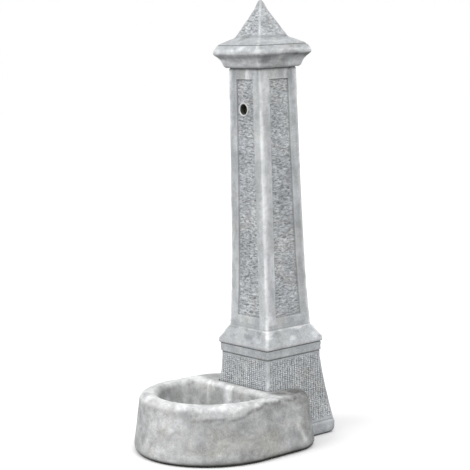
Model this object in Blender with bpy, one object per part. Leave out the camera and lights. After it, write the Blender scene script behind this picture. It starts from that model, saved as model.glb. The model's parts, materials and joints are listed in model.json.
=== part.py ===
"""A cast-stone drinking fountain: a panelled column on a flared pedestal, with a round-fronted basin.

Metres, +Z up, front towards -Y. The origin is on the ground, in the middle of the whole footprint.
Every piece is modelled from the column's axis, an empty that is set back from the origin because the
basin reaches forward.
"""

from math import atan2, cos, pi, radians, sin

import bmesh
import bpy
from mathutils import Matrix

# Driving dimensions
TOTAL_HEIGHT = 1.250
PEDESTAL_HEIGHT = 0.242
COLUMN_TOP = 1.0575
BED = 0.003  # mortar bed between two castings
GAP = 0.0003  # clearance between neighbouring solids
PAST = 0.010  # how far a cutting shape runs past the surface it leaves by

PEDESTAL_FOOT_HALF = 0.1292
PEDESTAL_TOP_HALF = 0.1015
PEDESTAL_FLARE = 0.0239
FLARE_TOP_Z = 0.235
FLARE_FOOT_Z = 0.045
FLARE_POWER = 4 / 3
SHAFT_FOOT_Z = 0.335
SHAFT_TOP_HALF = 0.0670
SHAFT_TAPER = 0.0085
SHAFT_FOOT_FLARE = 0.0060
PANEL_MARGIN = 0.033
PANEL_DEPTH = 0.004
PANEL_BOTTOM = 0.354
PANEL_TOP = 1.029

BASIN_X = -0.010  # the basin stands slightly left of the column
BASIN_HALF = 0.229
BASIN_CENTRE_Y = -0.212  # centre of the round front
BASIN_REACH = BASIN_HALF - BASIN_CENTRE_Y
BASIN_REAR_Y = 0.026
BASIN_CORNER = 0.114
BASIN_HEIGHT = 0.162  # over the centre of the round front
RIM_SLOPE = 0.022  # the rim falls towards the rear
ARM_SLOPE = 0.065  # the arms beside the pedestal fall by this much more
ARM_START_Y = -0.115
BOWL_HALF = 0.156
BOWL_REAR_Y = -0.146
BOWL_CORNER = 0.016
BOWL_FLOOR_Z = 0.056
NOTCH_GAP = 0.004
NOTCH_CORNER = 0.010

COLUMN_X = -BASIN_X
COLUMN_Y = (BASIN_REACH - PEDESTAL_FOOT_HALF) / 2

CORE_R = 0.030
CORE_TOP = 0.985
CHAMBER_HALF = 0.075
CHAMBER_TOP = 0.200
PIPE_X = BASIN_X  # the outlet is drilled over the middle of the basin, so the riser stands there too
PIPE_Y = 0.004
PIPE_R = 0.01065
PIPE_BORE_R = 0.008
SOCKET_R = 0.0110  # fits over the pipe
SPACER_THICKNESS = 0.015
RISER_TOP = 0.925
OUTLET_Z = 0.944
OUTLET_HOLE_R = 0.015
OUTLET_MOUTH_Y = -0.052
VALVE_Z = 0.115
STEM_HOLE_R = 0.0045
VALVE_HEX_R = 0.0158

DOWEL_R = 0.006
DOWEL_HOLE_R = 0.0065
DOWEL_OFFSET = 0.055
DOWEL_HOLE_DOWN = 0.035
DOWEL_HOLE_UP = 0.045
CAP_HOLE_DOWN = 0.030
CAP_HOLE_UP = 0.038

DRAIN_Y = -0.230
DRAIN_BARREL_R = 0.019
DRAIN_FLANGE_R = 0.028
DRAIN_REBATE_R = 0.030
DRAIN_REBATE_Z = 0.051
DRAIN_RECESS_R = 0.055
DRAIN_RECESS_Z = 0.030

COVER_HALF_X = 0.0585
COVER_HALF_Z = 0.0685
COVER_Z = 0.107  # middle of the cover on the rear face
COVER_MARGIN = 0.0015
OPENING_HALF_X = 0.045
OPENING_HALF_Z = 0.055
REBATE_DEPTH = 0.004
SCREW_X = 0.0515
SCREW_Z = 0.0615
SCREW_HOLE_R = 0.0027
PLUG_HOLE_R = 0.0043

ROUND_STEPS = 32
STEM_STEPS = 24
DOWEL_STEPS = 16


# ---------------------------------------------------------------- helpers


def clear_scene():
    for obj in list(bpy.data.objects):
        bpy.data.objects.remove(obj, do_unlink=True)


def material(name, colour, roughness, metallic=0.0):
    mat = bpy.data.materials.new(name)
    mat.use_nodes = True
    shader = mat.node_tree.nodes["Principled BSDF"]
    shader.inputs["Base Color"].default_value = (*colour, 1.0)
    shader.inputs["Roughness"].default_value = roughness
    shader.inputs["Metallic"].default_value = metallic
    mat.diffuse_color = (*colour, 1.0)
    return mat


def add_object(name, bm, mat, parent, location=(0, 0, 0), rotation=(0, 0, 0)):
    """Links the bmesh as a named object under parent. Its faces point out and its round parts are smooth."""
    bmesh.ops.recalc_face_normals(bm, faces=bm.faces)
    mesh = bpy.data.meshes.new(name)
    bm.to_mesh(mesh)
    bm.free()
    mesh.materials.append(mat)
    mesh.shade_smooth()
    mesh.set_sharp_from_angle(angle=radians(32))
    obj = bpy.data.objects.new(name, mesh)
    bpy.context.scene.collection.objects.link(obj)
    obj.parent = parent
    obj.location = location
    obj.rotation_euler = rotation
    return obj


def add_empty(name, location, rotation=(0, 0, 0), parent=None):
    empty = bpy.data.objects.new(name, None)
    bpy.context.scene.collection.objects.link(empty)
    empty.parent = parent
    empty.location = location
    empty.rotation_euler = rotation
    return empty


def loft(rings, closed_loop=False):
    """A bmesh skin over rings of equally many points, with end caps or with its two end rings joined."""
    bm = bmesh.new()
    rows = [[bm.verts.new(point) for point in ring] for ring in rings]
    pairs = list(zip(rows, rows[1:]))
    if closed_loop:
        pairs.append((rows[-1], rows[0]))
    else:
        bm.faces.new(rows[0])
        bm.faces.new(rows[-1])
    for low, high in pairs:
        for i in range(len(low)):
            j = (i + 1) % len(low)
            bm.faces.new((low[i], low[j], high[j], high[i]))
    return bm


def circle(radius, z, steps=ROUND_STEPS, centre=(0, 0), turn=0.0):
    return [
        (
            centre[0] + radius * cos(turn + 2 * pi * i / steps),
            centre[1] + radius * sin(turn + 2 * pi * i / steps),
            z,
        )
        for i in range(steps)
    ]


def rod(profile, steps=ROUND_STEPS):
    """A solid of revolution about Z from (radius, z) pairs."""
    return loft([circle(r, z, steps) for r, z in profile])


def straight_rod(radius, low, high, steps=ROUND_STEPS):
    return rod([(radius, low), (radius, high)], steps)


def tube(profile, steps=ROUND_STEPS):
    """A ring-shaped solid of revolution about Z from a closed outline of (radius, z) pairs."""
    return loft([circle(r, z, steps) for r, z in profile], closed_loop=True)


def pipe(inner, outer, low, high, steps=ROUND_STEPS):
    return tube([(inner, low), (outer, low), (outer, high), (inner, high)], steps)


def arc(centre, radius, start, end, steps):
    """Points of an arc in plan, both ends included, angles in degrees."""
    return [
        (
            centre[0] + radius * cos(radians(start + (end - start) * i / steps)),
            centre[1] + radius * sin(radians(start + (end - start) * i / steps)),
        )
        for i in range(steps + 1)
    ]


def rounded_rectangle(half_x, half_y, radius, z, steps=3):
    points = []
    for quarter, (sx, sy) in enumerate(((1, 1), (-1, 1), (-1, -1), (1, -1))):
        centre = (sx * (half_x - radius), sy * (half_y - radius))
        points += arc(centre, radius, 90 * quarter, 90 * quarter + 90, steps)
    return [(x, y, z) for x, y in points]


def square_stack(profile):
    """A solid with rounded-square levels, from (half width, z, corner radius)."""
    return loft([rounded_rectangle(half, half, r, z) for half, z, r in profile])


def turned_to_y(bm):
    """Lays a piece that was made along Z so that its +Z runs along +Y."""
    bmesh.ops.rotate(bm, verts=bm.verts, matrix=Matrix.Rotation(-pi / 2, 3, "X"))
    return bm


def shifted(bm, x=0.0, y=0.0, z=0.0):
    bmesh.ops.translate(bm, verts=bm.verts, vec=(x, y, z))
    return bm


def boolean(target, tool, operation):
    """Cuts or joins tool into target, and keeps tool as a hidden wire helper."""
    tool.hide_render = True
    tool.display_type = "WIRE"
    modifier = target.modifiers.new(f"{operation.lower()} {tool.name}", "BOOLEAN")
    modifier.operation = operation
    modifier.solver = "EXACT"
    modifier.object = tool


def cut(target, bm, label, parent=None, location=(0, 0, 0), rotation=(0, 0, 0)):
    owner = parent or target.parent
    tool = add_object(f"{target.name}_{label}", bm, MATERIALS["stone"], owner, location, rotation)
    boolean(target, tool, "DIFFERENCE")


def join(target, bm, label):
    tool = add_object(f"{target.name}_{label}", bm, MATERIALS["stone"], target.parent, target.location)
    boolean(target, tool, "UNION")


# ---------------------------------------------------------------- outlines of the castings


def pedestal_half(z):
    """Half width of the pedestal's concave flare, which straightens near its top."""
    fall = min(max((FLARE_TOP_Z - z) / (FLARE_TOP_Z - FLARE_FOOT_Z), 0.0), 1.0)
    return PEDESTAL_TOP_HALF + PEDESTAL_FLARE * fall**FLARE_POWER


def shaft_half(z):
    """Half width of the tapering shaft, which spreads a little more near its foot."""
    fall = (COLUMN_TOP - z) / (COLUMN_TOP - SHAFT_FOOT_Z)
    return SHAFT_TOP_HALF + SHAFT_TAPER * fall + SHAFT_FOOT_FLARE * fall**6


def levels(low, high, count):
    return [low + (high - low) * i / (count - 1) for i in range(count)]


def basin_ring(half, rear_y, corner, z):
    """A plan with a half-round front and rounded rear corners. It falls like the rim, but less lower down."""
    points = arc((half - corner, rear_y - corner), corner, 0, 90, 7)
    points += arc((corner - half, rear_y - corner), corner, 90, 180, 7)
    points += arc((0, BASIN_CENTRE_Y), half, 180, 360, 30)
    return [(x, y, z - rim_fall(y) * z / BASIN_HEIGHT) for x, y in points]


def rim_fall(y):
    """How far the rim is below its level over the centre of the round front."""
    return RIM_SLOPE * (y - BASIN_CENTRE_Y) + ARM_SLOPE * max(y - ARM_START_Y, 0.0)


def around_pedestal(half, corner, z, rear_y):
    """Right to left round the pedestal's front: two sides and two rounded corners."""
    points = [(half, rear_y)]
    points += arc((half - corner, corner - half), corner, 0, -90, 3)
    points += arc((corner - half, corner - half), corner, -90, -180, 3)
    points += [(-half, rear_y)]
    return [(x, y, z) for x, y in points]


# ---------------------------------------------------------------- castings


def build_pedestal(axis):
    """The flared pedestal: a hollow casting, open below and at the service opening behind."""
    foot = [
        (0.1215, 0.000, 0.012),
        (0.1275, 0.006, 0.012),
        (PEDESTAL_FOOT_HALF, 0.014, 0.010),
        (PEDESTAL_FOOT_HALF, 0.033, 0.008),
        (0.1272, 0.0395, 0.006),
        (0.1252, 0.0405, 0.006),
        (0.1254, 0.0420, 0.006),
    ]
    flare = [(pedestal_half(z), z, 0.006) for z in levels(FLARE_FOOT_Z, PEDESTAL_HEIGHT, 12)]
    pedestal = add_object("pedestal", square_stack(foot + flare), MATERIALS["stone"], axis)
    chamber_corner = 0.010
    chamber = [(CHAMBER_HALF, -PAST, chamber_corner), (CHAMBER_HALF, CHAMBER_TOP, chamber_corner)]
    cut(pedestal, square_stack(chamber), "chamber")
    cut(pedestal, straight_rod(CORE_R, CHAMBER_TOP - PAST, PEDESTAL_HEIGHT + PAST), "core")
    cut_dowel_holes(pedestal, PEDESTAL_HEIGHT - DOWEL_HOLE_DOWN, PEDESTAL_HEIGHT + PAST)
    return pedestal


def cut_dowel_holes(target, low, high):
    """The two diagonal holes of the dowels between pedestal and column."""
    for side in (-1, 1):
        place = (side * DOWEL_OFFSET, side * DOWEL_OFFSET, 0)
        cut(target, straight_rod(DOWEL_HOLE_R, low, high, DOWEL_STEPS), f"dowel_hole_{side}", location=place)


def build_column(axis):
    """Shaft and moulded base in one casting, with a pipe core and four sunk panels."""
    base = PEDESTAL_HEIGHT + BED
    moulding = [
        (0.1030, base, 0.005),
        (0.1044, 0.2680, 0.005),
        (0.1030, 0.2688, 0.005),
        (0.1030, 0.2700, 0.005),
        (0.1064, 0.2708, 0.006),
        (0.1084, 0.2750, 0.008),
        (0.1087, 0.2800, 0.008),
        (0.1073, 0.2850, 0.007),
        (0.1028, 0.2910, 0.006),
        (0.0972, 0.3000, 0.005),
        (0.0912, 0.3100, 0.004),
        (0.0857, 0.3200, 0.004),
        (0.0840, 0.3215, 0.004),
        (0.0826, 0.3270, 0.004),
    ]
    shaft = [(shaft_half(z), z, 0.004) for z in levels(SHAFT_FOOT_Z, COLUMN_TOP, 14)]
    column = add_object("column", square_stack(moulding + shaft), MATERIALS["stone"], axis)
    for quarter in range(4):
        turn = (0, 0, quarter * pi / 2)
        cut(column, panel_cutter(), f"panel_{quarter}", rotation=turn)
    cut(column, straight_rod(CORE_R, base - PAST, CORE_TOP), "core")
    outlet = turned_to_y(straight_rod(OUTLET_HOLE_R, -shaft_half(OUTLET_Z) - PAST, 0.0))
    cut(column, outlet, "outlet_hole", location=(PIPE_X, 0, OUTLET_Z))
    cut_dowel_holes(column, base - PAST, base + DOWEL_HOLE_UP)
    hole = straight_rod(DOWEL_HOLE_R, COLUMN_TOP - CAP_HOLE_DOWN, COLUMN_TOP + PAST, DOWEL_STEPS)
    cut(column, hole, "cap_dowel_hole")
    return column


def panel_cutter():
    """A slab with sloping sides that sinks the front face's panel and follows the shaft's taper."""
    outside = 0.02
    side_slope = 0.5
    rings = []
    for z in levels(PANEL_BOTTOM, PANEL_TOP, 10):
        face = shaft_half(z)
        floor_half = face - PANEL_MARGIN - side_slope * PANEL_DEPTH
        outer_half = face - PANEL_MARGIN + side_slope * outside
        floor = PANEL_DEPTH - face
        outer = -face - outside
        ring = [(-outer_half, outer), (outer_half, outer), (floor_half, floor), (-floor_half, floor)]
        rings.append([(x, y, z) for x, y in ring])
    return loft(rings)


def build_cap(axis):
    """Capital, sloping top and pyramid in one casting."""
    low = COLUMN_TOP + BED
    tip = TOTAL_HEIGHT
    profile = [
        (0.0742, low, 0.004),
        (0.0757, low + 0.0012, 0.005),
        (0.0786, 1.0645, 0.005),
        (0.0808, 1.0700, 0.006),
        (0.0829, 1.0760, 0.007),
        (0.0862, 1.0820, 0.008),
        (0.0908, 1.0880, 0.009),
        (0.0964, 1.0935, 0.010),
        (0.1006, 1.0985, 0.012),
        (0.1017, 1.1030, 0.012),
        (0.1008, 1.1080, 0.012),
        (0.0984, 1.1130, 0.010),
        (0.0955, 1.1180, 0.009),
        (0.0927, 1.1222, 0.008),
        (0.0898, 1.1228, 0.006),
        (0.0898, 1.1243, 0.006),
        (0.0892, 1.1262, 0.006),
        (0.0704, 1.1365, 0.004),
        (0.0566, 1.1425, 0.003),
        (0.0529, 1.1460, 0.003),
        (0.0145, 1.2200, 0.003),
        (0.0096, 1.2350, 0.003),
        (0.0074, 1.2440, 0.003),
        (0.0050, 1.2485, 0.002),
        (0.0026, tip, 0.001),
    ]
    cap = add_object("cap", square_stack(profile), MATERIALS["stone"], axis)
    cut(cap, straight_rod(DOWEL_HOLE_R, low - PAST, low + CAP_HOLE_UP, DOWEL_STEPS), "dowel_hole")
    return cap


def build_basin(axis):
    """The round-fronted basin, whose two arms reach back beside the pedestal."""
    top = BASIN_HEIGHT
    outer = [(0.0175, 0.0), (0.0080, 0.003), (0.0015, 0.010), (0.0, 0.020), (0.0190, 0.136)]
    outer += [(0.0225, 0.147), (0.0285, 0.156), (0.0360, 0.161), (0.0440, top)]
    rings = [basin_ring(BASIN_HALF - d, BASIN_REAR_Y - 0.6 * d, BASIN_CORNER - d, z) for d, z in outer]
    bowl = [(-0.015, top), (-0.007, 0.160), (-0.001, 0.154), (0.002, 0.146), (0.008, 0.080)]
    bowl += [(0.013, 0.068), (0.022, 0.060), (0.034, BOWL_FLOOR_Z)]
    for d, z in bowl:
        rings.append(basin_ring(BOWL_HALF - d, BOWL_REAR_Y - d, BOWL_CORNER - 0.3 * d, z))
    basin = add_object("basin", loft(rings), MATERIALS["stone"], axis, (BASIN_X, 0, 0))
    foot = PEDESTAL_FOOT_HALF + NOTCH_GAP
    rear = BASIN_REAR_Y + 2 * PAST
    notch = [around_pedestal(foot, NOTCH_CORNER, z, rear) for z in (-PAST, FLARE_FOOT_Z - 0.003)]
    for z in levels(FLARE_FOOT_Z, BASIN_HEIGHT + 2 * PAST, 8):
        notch.append(around_pedestal(pedestal_half(z) + NOTCH_GAP, NOTCH_CORNER, z, rear))
    cut(basin, loft(notch), "notch")
    place = (BASIN_X, DRAIN_Y, 0)
    above = BOWL_FLOOR_Z + PAST
    cut(basin, straight_rod(DRAIN_BARREL_R + 0.0008, -PAST, above), "drain_hole", location=place)
    cut(basin, straight_rod(DRAIN_REBATE_R, DRAIN_REBATE_Z, above), "drain_rebate", location=place)
    cut(basin, straight_rod(DRAIN_RECESS_R, -PAST, DRAIN_RECESS_Z), "drain_recess", location=place)
    return basin


# ---------------------------------------------------------------- mortar and dowels


def build_mortar(axis):
    """The two bed joints and the joint round the pedestal's front that seals the basin to it."""
    recess = 0.005
    half = PEDESTAL_TOP_HALF - recess
    bed = add_object(
        "column_mortar_bed",
        square_stack([(half, PEDESTAL_HEIGHT + GAP, 0.004), (half, PEDESTAL_HEIGHT + BED - GAP, 0.004)]),
        MATERIALS["mortar"],
        axis,
    )
    cut(bed, straight_rod(CORE_R, PEDESTAL_HEIGHT - PAST, PEDESTAL_HEIGHT + PAST), "core")
    cut_dowel_holes(bed, PEDESTAL_HEIGHT - PAST, PEDESTAL_HEIGHT + PAST)
    half = SHAFT_TOP_HALF - recess
    cap_bed = add_object(
        "cap_mortar_bed",
        square_stack([(half, COLUMN_TOP + GAP, 0.004), (half, COLUMN_TOP + BED - GAP, 0.004)]),
        MATERIALS["mortar"],
        axis,
    )
    hole = straight_rod(DOWEL_HOLE_R, COLUMN_TOP - PAST, COLUMN_TOP + PAST, DOWEL_STEPS)
    cut(cap_bed, hole, "dowel_hole")
    rings = []
    rear = -0.030
    for z in levels(FLARE_FOOT_Z + 0.004, BASIN_HEIGHT - 0.018, 8):
        half = pedestal_half(z)
        outside = around_pedestal(half + NOTCH_GAP - GAP, NOTCH_CORNER - GAP, z, rear)
        inside = around_pedestal(half + GAP, 0.006 + GAP, z, rear)
        rings.append(outside + inside[::-1])
    add_object("basin_mortar_joint", loft(rings), MATERIALS["mortar"], axis)


def build_dowels(axis):
    end_gap = 0.001
    low = PEDESTAL_HEIGHT - DOWEL_HOLE_DOWN + end_gap
    high = PEDESTAL_HEIGHT + BED + DOWEL_HOLE_UP - end_gap
    steel = MATERIALS["stainless"]
    for name, side in (("column_dowel_left", -1), ("column_dowel_right", 1)):
        place = (side * DOWEL_OFFSET, side * DOWEL_OFFSET, 0)
        add_object(name, straight_rod(DOWEL_R, low, high, DOWEL_STEPS), steel, axis, place)
    low = COLUMN_TOP - CAP_HOLE_DOWN + end_gap
    high = COLUMN_TOP + BED + CAP_HOLE_UP - end_gap
    add_object("cap_dowel", straight_rod(DOWEL_R, low, high, DOWEL_STEPS), steel, axis)


# ---------------------------------------------------------------- water supply


def build_supply(axis):
    """Everything on the riser's own axis, from the tail in the ground to the outlet in the front face."""
    riser = add_empty("riser_axis", (PIPE_X, PIPE_Y, 0), parent=axis)
    brass, steel = MATERIALS["brass"], MATERIALS["galvanised"]
    tail_ends = (0.003, VALVE_Z - 0.0275)
    add_object("supply_tail", pipe(PIPE_BORE_R, PIPE_R, *tail_ends), MATERIALS["polyethylene"], riser)
    add_object("riser_pipe", pipe(PIPE_BORE_R, PIPE_R, VALVE_Z + 0.0135, RISER_TOP), steel, riser)
    for name, z in (("riser_spacer_lower", 0.300), ("riser_spacer_upper", 0.860)):
        disc = straight_rod(CORE_R - 0.0005, z, z + SPACER_THICKNESS)
        spacer = add_object(name, disc, MATERIALS["rubber"], axis)
        hole = straight_rod(SOCKET_R, z - PAST, z + SPACER_THICKNESS + PAST)
        cut(spacer, hole, "pipe_hole", parent=riser)
    build_outlet(riser, brass)
    build_valve(add_empty("valve_axis", (0, 0, VALVE_Z), parent=riser))


def build_outlet(riser, brass):
    """Elbow on top of the riser, the threaded socket for a tap, and the collar round the hole."""
    shell = 0.0135
    elbow_low = RISER_TOP - 0.013
    pipe_stop = RISER_TOP + 0.003
    outside = [(shell, elbow_low), (shell, OUTLET_Z + 0.009), (0.010, OUTLET_Z + shell)]
    elbow = add_object("outlet_elbow", rod(outside), brass, riser)
    elbow_front = -0.022
    join(elbow, shifted(turned_to_y(straight_rod(shell, elbow_front, 0.0)), z=OUTLET_Z), "branch")
    cut(elbow, straight_rod(SOCKET_R, elbow_low - PAST, pipe_stop), "pipe_socket")
    cut(elbow, straight_rod(PIPE_BORE_R, pipe_stop - PAST, OUTLET_Z), "riser_bore")
    at_outlet = (0, 0, OUTLET_Z)
    branch_bore = turned_to_y(straight_rod(PIPE_BORE_R, elbow_front - PAST, 0.002))
    cut(elbow, branch_bore, "branch_bore", location=at_outlet)
    branch_socket = turned_to_y(straight_rod(0.0105, elbow_front - PAST, elbow_front + 0.012))
    cut(elbow, branch_socket, "branch_socket", location=at_outlet)

    mouth = OUTLET_MOUTH_Y - PIPE_Y
    thread_end = mouth + 0.016
    outline = [
        (0.0093, mouth + 0.001),
        (0.0103, mouth),
        (0.0125, mouth),
        (0.0133, mouth + 0.001),
        (0.0133, elbow_front - 0.001),
        (0.0102, elbow_front - 0.001),
        (0.0102, elbow_front + 0.011),
        (0.0075, elbow_front + 0.011),
        (0.0075, thread_end),
        (0.0093, thread_end),
    ]
    add_object("outlet_socket", turned_to_y(tube(outline)), brass, riser, at_outlet)

    face = -(shaft_half(OUTLET_Z) - PANEL_DEPTH) - PIPE_Y - 0.0006
    proud = 0.0024
    ring = [
        (OUTLET_HOLE_R + 0.0002, face),
        (0.0205, face),
        (0.0202, face - 0.5 * proud),
        (0.0188, face - proud),
        (0.0162, face - proud),
        (OUTLET_HOLE_R + 0.0002, face - 0.6 * proud),
    ]
    add_object("outlet_collar", turned_to_y(tube(ring)), MATERIALS["mortar"], riser, at_outlet)


def hexagon(radius, low, high):
    return loft([circle(radius, z, 6) for z in (low, high)])


def stem_hole():
    return turned_to_y(straight_rod(STEM_HOLE_R, 0.0, 0.050, STEM_STEPS))


def build_valve(valve):
    """A quarter-turn ball valve: water flows along Z, and the stem points to the rear."""
    brass = MATERIALS["brass"]
    outside = [(0.0175, -0.0265), (0.0175, 0.0160), (0.0155, 0.0180)]
    body = add_object("valve_body", rod(outside), brass, valve)
    join(body, hexagon(VALVE_HEX_R, 0.0170, 0.0290), "upper_hex")
    join(body, turned_to_y(straight_rod(0.0090, 0.0, 0.0240, STEM_STEPS)), "bonnet")
    cut(body, straight_rod(0.0127, -0.0265 - PAST, 0.0128), "ball_cavity")
    cut(body, straight_rod(PIPE_BORE_R, 0.0, 0.0132 + PAST), "flow_bore")
    cut(body, straight_rod(SOCKET_R, 0.0132, 0.0290 + PAST), "pipe_socket")
    cut(body, stem_hole(), "stem_hole")

    end = add_object("valve_end", hexagon(VALVE_HEX_R, -0.0380, -0.0268), brass, valve)
    join(end, straight_rod(0.0124, -0.0280, -0.0130), "thread")
    cut(end, straight_rod(PIPE_BORE_R, -0.0380 - PAST, 0.0), "flow_bore")
    cut(end, straight_rod(SOCKET_R, -0.0380 - PAST, -0.0265), "pipe_socket")

    seat = [(0.0079, 0.0087), (0.0122, 0.0046), (0.0122, 0.0125), (0.0079, 0.0125)]
    add_object("valve_seat_upper", tube(seat), MATERIALS["ptfe"], valve)
    add_object("valve_seat_lower", tube([(r, -z) for r, z in seat]), MATERIALS["ptfe"], valve)

    ball_r = 0.0114
    ball_profile = [(ball_r * cos(radians(a)), ball_r * sin(radians(a))) for a in range(-80, 81, 10)]
    ball = add_object("valve_ball", rod(ball_profile), MATERIALS["chrome"], valve)
    cut(ball, straight_rod(0.0074, -ball_r - PAST, ball_r + PAST), "bore")
    slot = loft([rounded_rectangle(0.0020, 0.0070, 0.0002, z, 1) for z in (0.0088, 0.0200)])
    cut(ball, turned_to_y(slot), "stem_slot")

    stem = add_object("valve_stem", turned_to_y(stem_shape()), brass, valve)
    tang = loft([rounded_rectangle(0.0017, 0.0036, 0.0002, z, 1) for z in (0.0091, 0.0135)])
    join(stem, turned_to_y(tang), "tang")

    nut = add_object("valve_gland_nut", turned_to_y(hexagon(0.0098, 0.0243, 0.0300)), brass, valve)
    cut(nut, stem_hole(), "stem_hole")
    build_lever(valve)


def stem_shape():
    return rod([(0.0042, 0.0130), (0.0042, 0.0338), (0.0029, 0.0340), (0.0029, 0.0405)], STEM_STEPS)


def build_lever(valve):
    """The lever stands along the pipe when the valve is open. Its hub turns on the stem's axis."""
    low, high = 0.0305, 0.0330
    steel = MATERIALS["galvanised"]
    hub = turned_to_y(straight_rod(0.0092, low, high, STEM_STEPS))
    lever = add_object("valve_lever", hub, steel, valve)
    arm_half, arm_end = 0.0055, 0.058
    arm = []
    for y in (low, high):
        arm.append([(arm_half, y, 0), (arm_half, y, arm_end), (-arm_half, y, arm_end), (-arm_half, y, 0)])
    join(lever, loft(arm), "arm")
    cut(lever, stem_hole(), "stem_hole")

    nut = add_object("valve_lever_nut", turned_to_y(hexagon(0.0060, 0.0343, 0.0383)), steel, valve)
    cut(nut, turned_to_y(straight_rod(0.0032, 0.03, 0.05, STEM_STEPS)), "thread")

    middle = (low + high) / 2
    outline = ((0.0070, 0.020), (0.0080, 0.024), (0.0085, 0.058), (0.0070, 0.062))
    outer = [rounded_rectangle(half, 0.0034, 0.0020, z) for half, z in outline]
    grip = add_object("valve_lever_grip", shifted(loft(outer), y=middle), MATERIALS["red_plastic"], valve)
    pocket_half = arm_half + GAP
    pocket_depth = (high - low) / 2 + GAP
    pocket = [rounded_rectangle(pocket_half, pocket_depth, 0.0002, z, 1) for z in (0.010, arm_end + GAP)]
    cut(grip, shifted(loft(pocket), y=middle), "arm_pocket")


# ---------------------------------------------------------------- basin drain


def build_drain(axis):
    """A flanged waste clamped through the basin's floor, with a strainer that lifts out."""
    drain = add_empty("drain_axis", (BASIN_X, DRAIN_Y, 0), parent=axis)
    flange_low = DRAIN_REBATE_Z + 0.0026
    flange_top = flange_low + 0.0032
    seat = flange_low + 0.0012
    outline = [
        (0.0160, 0.004),
        (DRAIN_BARREL_R, 0.004),
        (DRAIN_BARREL_R, flange_low),
        (DRAIN_FLANGE_R, flange_low),
        (DRAIN_FLANGE_R, flange_low + 0.0018),
        (0.0268, flange_top),
        (0.0236, flange_top),
        (0.0232, seat),
        (0.0160, seat),
    ]
    add_object("drain_body", tube(outline), MATERIALS["brass"], drain)
    rubber = MATERIALS["rubber"]
    bore = DRAIN_BARREL_R + GAP
    seal_r = 0.0275
    washer_low = DRAIN_RECESS_Z - 0.0033
    add_object("drain_gasket", pipe(bore, seal_r, DRAIN_REBATE_Z + GAP, flange_low - GAP), rubber, drain)
    add_object("drain_washer", pipe(bore, seal_r, washer_low, DRAIN_RECESS_Z - GAP), rubber, drain)
    nut_low, nut_high = 0.0170, washer_low - 0.0004
    nut = add_object("drain_backnut", hexagon(0.0300, nut_low, nut_high), MATERIALS["brass"], drain)
    cut(nut, straight_rod(bore, nut_low - PAST, nut_high + PAST), "thread")

    low = seat + GAP
    skirt = low - 0.009
    shape = [(0.0150, skirt), (0.0150, low), (0.0226, low), (0.0226, low + 0.0015), (0.0150, low + 0.0024)]
    strainer = add_object("drain_strainer", rod(shape), MATERIALS["stainless"], drain)
    cut(strainer, straight_rod(0.0138, skirt - PAST, low + 0.0004), "inside")
    for ring_r, count in ((0.0050, 5), (0.0103, 10)):
        for i in range(count):
            x, y, _ = circle(ring_r, 0, count)[i]
            hole = straight_rod(0.0018, low - 0.005, low + PAST, 10)
            cut(strainer, hole, f"hole_{count}_{i}", location=(x, y, 0))


# ---------------------------------------------------------------- service opening behind the pedestal


def build_access(axis, pedestal):
    """A plate in a rebate on the pedestal's sloping rear face, held by four screws in plugs."""
    reach = COVER_HALF_Z + COVER_MARGIN
    low, high = pedestal_half(COVER_Z - reach), pedestal_half(COVER_Z + reach)
    tilt = atan2(low - high, 2 * reach)
    face = add_empty("access_axis", (0, (low + high) / 2, COVER_Z), (tilt, 0, 0), axis)
    floor = -REBATE_DEPTH

    def plate(half_x, half_z, radius, low_y, high_y):
        """A rounded plate in the plane of the rear face, lying along the face's own XZ."""
        return turned_to_y(loft([rounded_rectangle(half_x, half_z, radius, y) for y in (low_y, high_y)]))

    margin = COVER_MARGIN
    cut(pedestal, plate(COVER_HALF_X + margin, reach, 0.0075, floor, PAST), "rebate", parent=face)
    cut(pedestal, plate(OPENING_HALF_X, OPENING_HALF_Z, 0.006, -0.08, PAST), "opening", parent=face)

    inset = 0.001
    seal = plate(COVER_HALF_X - inset, COVER_HALF_Z - inset, 0.005, floor + GAP, floor + 0.0018)
    gasket = add_object("access_gasket", seal, MATERIALS["rubber"], face)
    cut(gasket, plate(OPENING_HALF_X, OPENING_HALF_Z, 0.005, floor - PAST, PAST), "window", parent=face)
    cover_low, cover_high = floor + 0.0021, floor + 0.0041
    steel_plate = plate(COVER_HALF_X, COVER_HALF_Z, 0.006, cover_low, cover_high)
    cover = add_object("access_cover", steel_plate, MATERIALS["stainless"], face)
    corners = (("top_left", -1, 1), ("top_right", 1, 1), ("bottom_left", -1, -1), ("bottom_right", 1, -1))
    for label, sx, sz in corners:
        place = (sx * SCREW_X, 0, sz * SCREW_Z)
        for sheet in (cover, gasket):
            through = turned_to_y(straight_rod(SCREW_HOLE_R, floor - PAST, PAST, DOWEL_STEPS))
            cut(sheet, through, f"screw_hole_{label}", parent=face, location=place)
        socket = turned_to_y(straight_rod(PLUG_HOLE_R, -0.036, 0.0, DOWEL_STEPS))
        cut(pedestal, socket, f"plug_hole_{label}", parent=face, location=place)
        plug = turned_to_y(pipe(0.0026, 0.0040, -0.034, floor - GAP, DOWEL_STEPS))
        add_object(f"cover_plug_{label}", plug, MATERIALS["nylon"], face, place)
        add_screw(f"cover_screw_{label}", face, place, cover_high + GAP)


def add_screw(name, face, place, seat):
    """A dome-headed screw with a hexagon recess, its head resting on the cover."""
    profile = [(0.0016, seat - 0.028), (0.0022, seat - 0.024), (0.0022, seat), (0.0046, seat)]
    profile += [(0.0046, seat + 0.0008), (0.0034, seat + 0.0022), (0.0022, seat + 0.0026)]
    screw = add_object(name, turned_to_y(rod(profile, DOWEL_STEPS)), MATERIALS["stainless"], face, place)
    recess = turned_to_y(hexagon(0.0015, seat + 0.0010, seat + 0.0040))
    cut(screw, recess, "recess", location=place)


# ---------------------------------------------------------------- the whole fountain

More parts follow.
